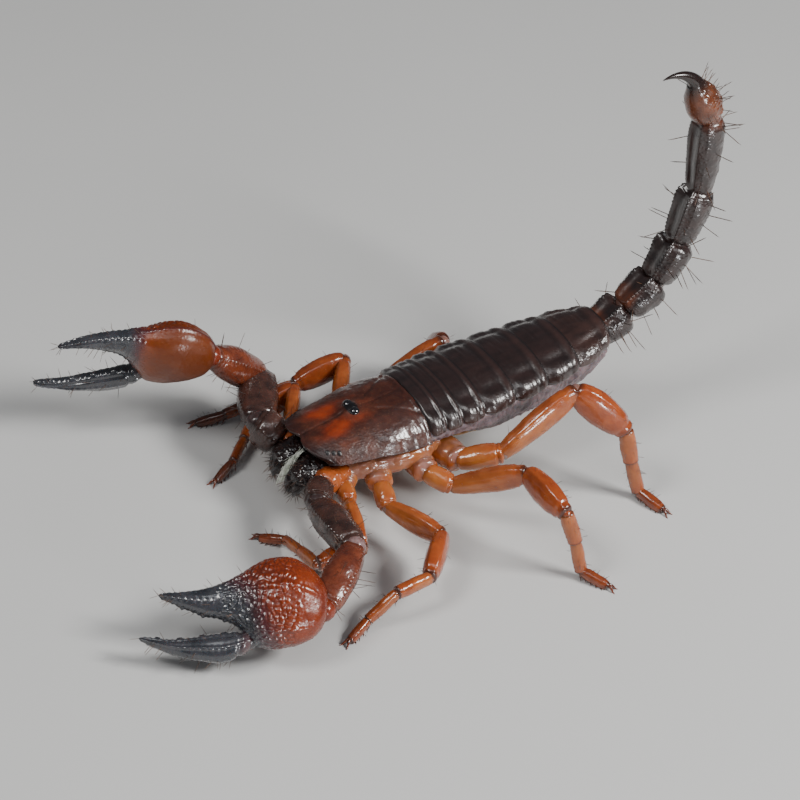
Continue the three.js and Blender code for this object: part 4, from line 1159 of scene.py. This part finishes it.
FINGER_HINGE = (6.9, 3.7)
TOOTH_PITCH, BIG_TOOTH_PITCH, RIB_BEAD = 0.52, 2.1, 0.6
claw_finish = Finish("claw_finish", Roughness=0.25, IOR=1.5, Coat_IOR=1.6, Coat_Roughness=0.2,
                     Subsurface_Weight=0.08, Subsurface_Scale=0.0007)
cloud = claw_finish.noise(1.6, 4)
red = claw_finish.ramp(cloud, (0.25, (0.12, 0.013, 0.003)), (0.75, (0.22, 0.03, 0.005)))
orange = claw_finish.ramp(cloud, (0.25, (0.14, 0.025, 0.003)), (0.75, (0.24, 0.052, 0.006)))
tone = claw_finish.blend(claw_finish.mark("amber"), red, orange)
# The gap mark paints shade: the grooves between the hand's raised granules are darkened.
tone = claw_finish.blend(claw_finish.mark("gap") * 0.6, tone, (0.06, 0.01, 0.007))
# On the right hand the dull mark paints shade: the far hand's colour is darkened towards a deep
# orange, and it is also made rougher.
tone = claw_finish.blend(claw_finish.mark("dull") * 0.6, tone, (0.085, 0.018, 0.002))
# The fingers' black cuticle, lightened to a bluish grey that paints in the sheen of their glossy
# ridges.
finger_black_and_sheen = claw_finish.ramp(cloud, (0.3, (0.014, 0.016, 0.021)), (0.8, (0.046, 0.045, 0.054)))
dusk = claw_finish.mark("dusk") + (claw_finish.noise(0.9, 4) - 0.5) * 0.2
wine = claw_finish.blend(claw_finish.band(dusk, 0.08, 0.5), tone, (0.06, 0.014, 0.016))
tone = claw_finish.blend(claw_finish.band(dusk, 0.4, 0.85), wine, finger_black_and_sheen)
claw_finish.wear(tone, 0.17 + claw_finish.noise(0.3, 3) * 0.2 + claw_finish.mark("dull") * 0.08,
                 claw_finish.grain(0.22, smooth=0.5) + claw_finish.noise(0.09, 2) * 0.3, 0.016, 0.5,
                 0.3 + claw_finish.mark("dusk") * 0.7 - claw_finish.mark("dull") * 0.25)


def blade(origin, along, across, normal, rows, rings, sides, first, last):
    """Rings of a hand or a finger between two reaches, rounded at both ends."""
    even = np.linspace(0, 1, rings)
    reach = first + (last - first) * (0.7 * even + 0.15 * (1 - np.cos(np.pi * even)))
    inner, outer, thick = smooth_rows(rows, reach).T[:, :, None]
    near_end = np.minimum(reach - first, last - reach)[:, None]
    cap = np.sqrt(1 - (1 - np.clip(near_end / 0.6, 0.02, 1)) ** 2)
    turn = ring_turns(sides)
    out, lift = superoval(turn, (outer - inner) / 2 * cap, thick * cap, thick * cap, 1.08)
    middle = (inner + outer) / 2
    points = (origin + along * reach[:, None, None] + across * (middle + out)[..., None]
              + normal * lift[..., None])
    return points, reach[:, None], turn


def small_teeth(reach):
    return 0.5 + 0.5 * np.cos(2 * np.pi * reach / TOOTH_PITCH)


def big_teeth(reach, first):
    return hump(reach % BIG_TOOTH_PITCH - first, 0.3)


def beaded_ribs(turn, reach):
    return hump((turn * 6 / np.pi) % 2 - 1, 0.35) * (0.6 + 0.4 * np.cos(
        2 * np.pi * reach / RIB_BEAD))


for name, sign in BOTH_SIDES:
    pose, wrist = PALP_POSE[name], wrists[name]
    along = direction(sign * pose["heading"], pose["slope"])
    back = unit(UP - along * along[2])
    out = np.cross(back, along) * sign
    roll = np.radians(pose["roll"])
    normal = back * np.cos(roll) + out * np.sin(roll)
    across = out * np.cos(roll) - back * np.sin(roll)
    slim = (1, pose["slim"], pose["slim"], pose["slim"])
    bowed = MANUS * slim
    bowed[:, 1:3] -= (pose["bow"] * np.sin(np.pi * np.clip((MANUS[:, :1] - 7) / 9, 0, 1))
                      * (1, 1.25))
    points, reach, turn = blade(wrist, along, across, normal, bowed, 250, 210, -0.5, 15.95)
    paved = step(np.sin(turn), -0.25, 0.3) * step(reach, 1.4, 4.4) * step(reach, 11.5, 8.5)
    near, second = grains(points, 0.6, 5)
    dome = step(second - near, 0.0, 0.42)
    inner_keel = hump(turn - np.pi, 0.1) * step(reach, 9, 7)
    outer_keel = (hump(turn - 0.62 * np.pi, 0.07) + 0.7 * hump(turn - 0.3 * np.pi, 0.07)) * step(
        reach, 12, 8) * step(reach, 0.5, 1.5)
    finger = step(reach, 6.9, 8.2)
    bite = hump((turn + np.pi) % (2 * np.pi) - np.pi, 0.3) * finger * step(reach, 15.9, 15.2)
    ribs = finger * beaded_ribs(turn, reach)
    relief = (0.12 * paved * dome + 0.1 * ripple(points, 1.9, 3) * step(reach, 9, 7) - 0.12
              + 0.14 * inner_keel + 0.1 * outer_keel + 0.09 * ribs
              + 0.02 * (1 - paved) * pimples(points, 0.45, 6, 0.45) + 0.08 * finger
              + bite * (0.08 * small_teeth(reach) + 0.16 * big_teeth(reach, 1.0))
              - 0.1 * finger * (hump(turn - 0.32, 0.2) + hump(turn - 2 * np.pi + 0.32, 0.2)))
    points, face = raised(points, relief)
    hand = Mould()
    if name == "left":
        dusk = (step(reach + 2.2 * np.cos(turn), 3.6, 10.6) * 1.05 + 0.2 * hump(reach - 0.2, 0.5)
                + 0.15 * inner_keel)
    else:
        dusk = step(reach, 6.2, 10.4) + 0.3 * inner_keel + 0.25 * hump(reach - 0.2, 0.6)
    hand.tube(points, amber=(0.05 + 0.75 * step(np.sin(turn), 0.1, -0.5)) * (name == "right")
              + 0.12 * (name == "left"),
              # gap: painted shade in the grooves between the granules
              gap=paved * (1 - step(second - near, 0.0, 0.22)), dusk=np.clip(dusk, 0, 1),
              # dull: painted shade that darkens the right, far hand, which is also made rougher
              dull=(name == "right") * step(reach, 8.5, 5.5))
    ball_skin(hand, wrist, along, 1.15)
    opening = np.radians(pose["opening"])
    swung = along * np.cos(opening) + across * np.sin(opening)
    sideways = across * np.cos(opening) - along * np.sin(opening)
    hinge = wrist + along * FINGER_HINGE[0] + across * FINGER_HINGE[1] * pose["slim"]
    ball_skin(hand, hinge, swung, 0.95, dusk=0.75)
    hand.make(f"hand_{name}", claw_finish, "claw_cuticle", [f"pedipalp_{name}_manus"])
    grow("claw", points, face, 32 + 4 * (sign < 0), 34, 1.0, 0.024, 500 + sign,
         0.15 + finger * 1.4, along * 0.5)
    points, reach, turn = blade(hinge, swung, sideways, normal, MOVABLE_FINGER * slim, 170, 130,
                                -0.5, 10.45)
    bite = hump(turn - np.pi, 0.32) * step(reach, 0.8, 1.6) * step(reach, 10.4, 9.8)
    relief = (0.055 * beaded_ribs(turn, reach) * step(reach, 1.2, 2.2)
              + 0.07 * ripple(points, 1.3, 4)
              + bite * (0.08 * small_teeth(reach) + 0.16 * big_teeth(reach, 0.2))
              - 0.12 * (hump(turn - np.pi - 0.75, 0.2) + hump(turn - np.pi + 0.75, 0.2))
              * step(reach, 0.8, 2)
              - 0.16 * hump(reach - 0.9, 0.25) + 0.1 * hump(turn - 0.5 * np.pi, 0.12)
              + 0.1 * hump(turn - 1.5 * np.pi, 0.12))
    points, face = raised(points, relief)
    finger = Mould()
    finger.tube(points, amber=0.1, dusk=1 - 0.45 * hump(reach, 1.2) * (name == "left"))
    finger.make(f"finger_{name}", claw_finish, "finger_cuticle",
                [f"pedipalp_{name}_movable_finger"])
    grow("claw", points, face, 33 + 4 * (sign < 0), 30, 1.0, 0.024, 520 + sign,
         step(reach, 0.5, 2) + 1e-6, swung * 0.5)

# ---------------------------------------------------------------------------------------------
# Bristles: stiff touch hairs stand on the tail, legs, jaws, arms and claws, each in its own socket,
# and a brush of fine pale ones hangs between the jaws. They are of horny cuticle and taper.
# ---------------------------------------------------------------------------------------------
BRUSH_HAIRS = 80
chooser = np.random.default_rng(9)
along = chooser.uniform(0, 1, (BRUSH_HAIRS, 1))
place = np.hstack([11.9 + 2.4 * along, 0.25 + chooser.normal(0, 0.14, (BRUSH_HAIRS, 1)),
                   -2.7 - 0.5 * along - 1.0 * along ** 2])
aim = np.hstack([0.6 - 0.2 * along, chooser.normal(0, 0.17, (BRUSH_HAIRS, 1)), -0.4 - 0.5 * along])
bristles["brush"] = [(placed(place), unit(aim @ BODY_TURN.T),
                      chooser.uniform(1.0, 2.3, (BRUSH_HAIRS, 1)), np.full((BRUSH_HAIRS, 1), 0.02),
                      np.hstack([(0.1 + 0.8 * along) / 8, np.full((BRUSH_HAIRS, 1), 5.5 / 8)]))]

RINGS, SIDES = 6, 4
tree = bpy.data.node_groups.new("bristles", "GeometryNodeTree")
for label, kind in (("Roots", "Geometry"), ("Bend", "Float"), ("Tip", "Float"),
                    ("Finish", "Material")):
    tree.interface.new_socket(label, in_out="INPUT", socket_type=f"NodeSocket{kind}")
tree.interface.new_socket("Hairs", in_out="OUTPUT", socket_type="NodeSocketGeometry")
entry, leave = tree.nodes.new("NodeGroupInput"), tree.nodes.new("NodeGroupOutput")


def add_node(kind, settings=None, **inputs):
    made = tree.nodes.new(kind)
    for setting, value in (settings or {}).items():
        setattr(made, setting, value)
    for label, value in inputs.items():
        socket = next(one for one in made.inputs
                      if one.name == label.replace("_", " ") and one.enabled)
        if isinstance(value, bpy.types.NodeSocket):
            tree.links.new(value, socket)
        else:
            socket.default_value = value
    return made


middle = add_node("ShaderNodeCombineXYZ", Z=0.55)
end = add_node("ShaderNodeCombineXYZ", X=entry.outputs["Bend"], Z=0.97)
stem = add_node("GeometryNodeCurveQuadraticBezier", Resolution=RINGS - 1, Start=(0, 0, 0),
                Middle=middle.outputs[0], End=end.outputs[0])
way_up = add_node("GeometryNodeSplineParameter")
taper = add_node("ShaderNodeMapRange", Value=way_up.outputs["Factor"], From_Min=0.0, From_Max=1.0,
                 To_Min=1.0, To_Max=entry.outputs["Tip"])
sized = add_node("GeometryNodeSetCurveRadius", Curve=stem.outputs[0], Radius=taper.outputs[0])
ring = add_node("GeometryNodeCurvePrimitiveCircle", {"mode": "RADIUS"}, Resolution=SIDES,
                Radius=1.0)
hair = add_node("GeometryNodeCurveToMesh", Curve=sized.outputs[0], Profile_Curve=ring.outputs[0],
                Fill_Caps=True)
way = add_node("GeometryNodeInputNamedAttribute", {"data_type": "FLOAT_VECTOR"}, Name="way")
stretch = add_node("GeometryNodeInputNamedAttribute", {"data_type": "FLOAT_VECTOR"},
                   Name="stretch")
aimed = add_node("FunctionNodeAlignRotationToVector", {"axis": "Z"}, Vector=way.outputs[0])
planted = add_node("GeometryNodeInstanceOnPoints", Points=entry.outputs["Roots"],
                   Instance=hair.outputs[0], Rotation=aimed.outputs[0],
                   Scale=stretch.outputs[0])
solid = add_node("GeometryNodeRealizeInstances", Geometry=planted.outputs[0])
painted = add_node("GeometryNodeSetMaterial", Geometry=solid.outputs[0],
                   Material=entry.outputs["Finish"])
tree.links.new(painted.outputs[0], leave.inputs[0])
sockets = {item.name: item.identifier for item in tree.interface.items_tree
           if item.in_out == "INPUT"}

hair_finish = Finish("bristle_finish", Roughness=0.35, IOR=1.54)
hair_finish.wear(hair_finish.ramp(hair_finish.noise(2.0, 2), (0.35, (0.02, 0.01, 0.008)),
                                  (0.65, (0.12, 0.06, 0.035))), 0.3 + hair_finish.noise(0.5) * 0.2)
brush_finish = Finish("brush_finish", Roughness=0.4, IOR=1.5)
brush_finish.wear(brush_finish.ramp(brush_finish.noise(0.6, 2), (0.35, (0.6, 0.64, 0.54)),
                                    (0.65, (0.9, 0.92, 0.84))),
                  0.35 + brush_finish.noise(0.5) * 0.2)
for group, slot, bend in (("tail", "tail_cuticle", 0.1), ("leg", "leg_cuticle", 0.16),
                          ("jaw", "chelicera_cuticle", 0.25),
                          ("claw", "claw_cuticle", 0.14), ("brush", "chelicera_cuticle", 0.12)):
    root, aim, size, thick, spot = (np.concatenate(parts) for parts in zip(*bristles[group]))
    mesh = bpy.data.meshes.new(f"{group}_roots")
    mesh.from_pydata((root * MM).tolist(), [], [])
    for key, values in (("way", aim), ("stretch", np.hstack([thick, thick, size]) * MM)):
        mesh.attributes.new(key, "FLOAT_VECTOR", "POINT").data.foreach_set(
            "vector", values.astype(np.float32).ravel())
    guide = bpy.data.objects.new(f"{group}_roots", mesh)
    bpy.context.scene.collection.objects.link(guide)
    planting = guide.modifiers.new("bristles", "NODES")
    planting.node_group = tree
    planting[sockets["Bend"]] = bend
    planting[sockets["Tip"]] = 0.12
    planting[sockets["Finish"]] = (brush_finish if group == "brush" else hair_finish).material
    guide.update_tag()
    grown = bpy.data.meshes.new_from_object(
        guide.evaluated_get(bpy.context.evaluated_depsgraph_get()))
    guide.modifiers.clear()
    each = len(grown.vertices) // len(root)
    corner = np.zeros(len(grown.loops), np.int32)
    grown.loops.foreach_get("vertex_index", corner)
    patch = np.stack([corner % each % SIDES, corner % each // SIDES], axis=1)
    unwrap = spot[corner // each] + patch * (0.003 / RINGS) - 0.0015
    grown.uv_layers.new(name="OFBake").data.foreach_set("uv", unwrap.astype(np.float32).ravel())
    grown.polygons.foreach_set("use_smooth", np.ones(len(grown.polygons), bool))
    coat = bpy.data.objects.new(f"{group}_bristles", grown)
    bpy.context.scene.collection.objects.link(coat)
    bpy.data.objects.remove(guide)
    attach(coat, "root")
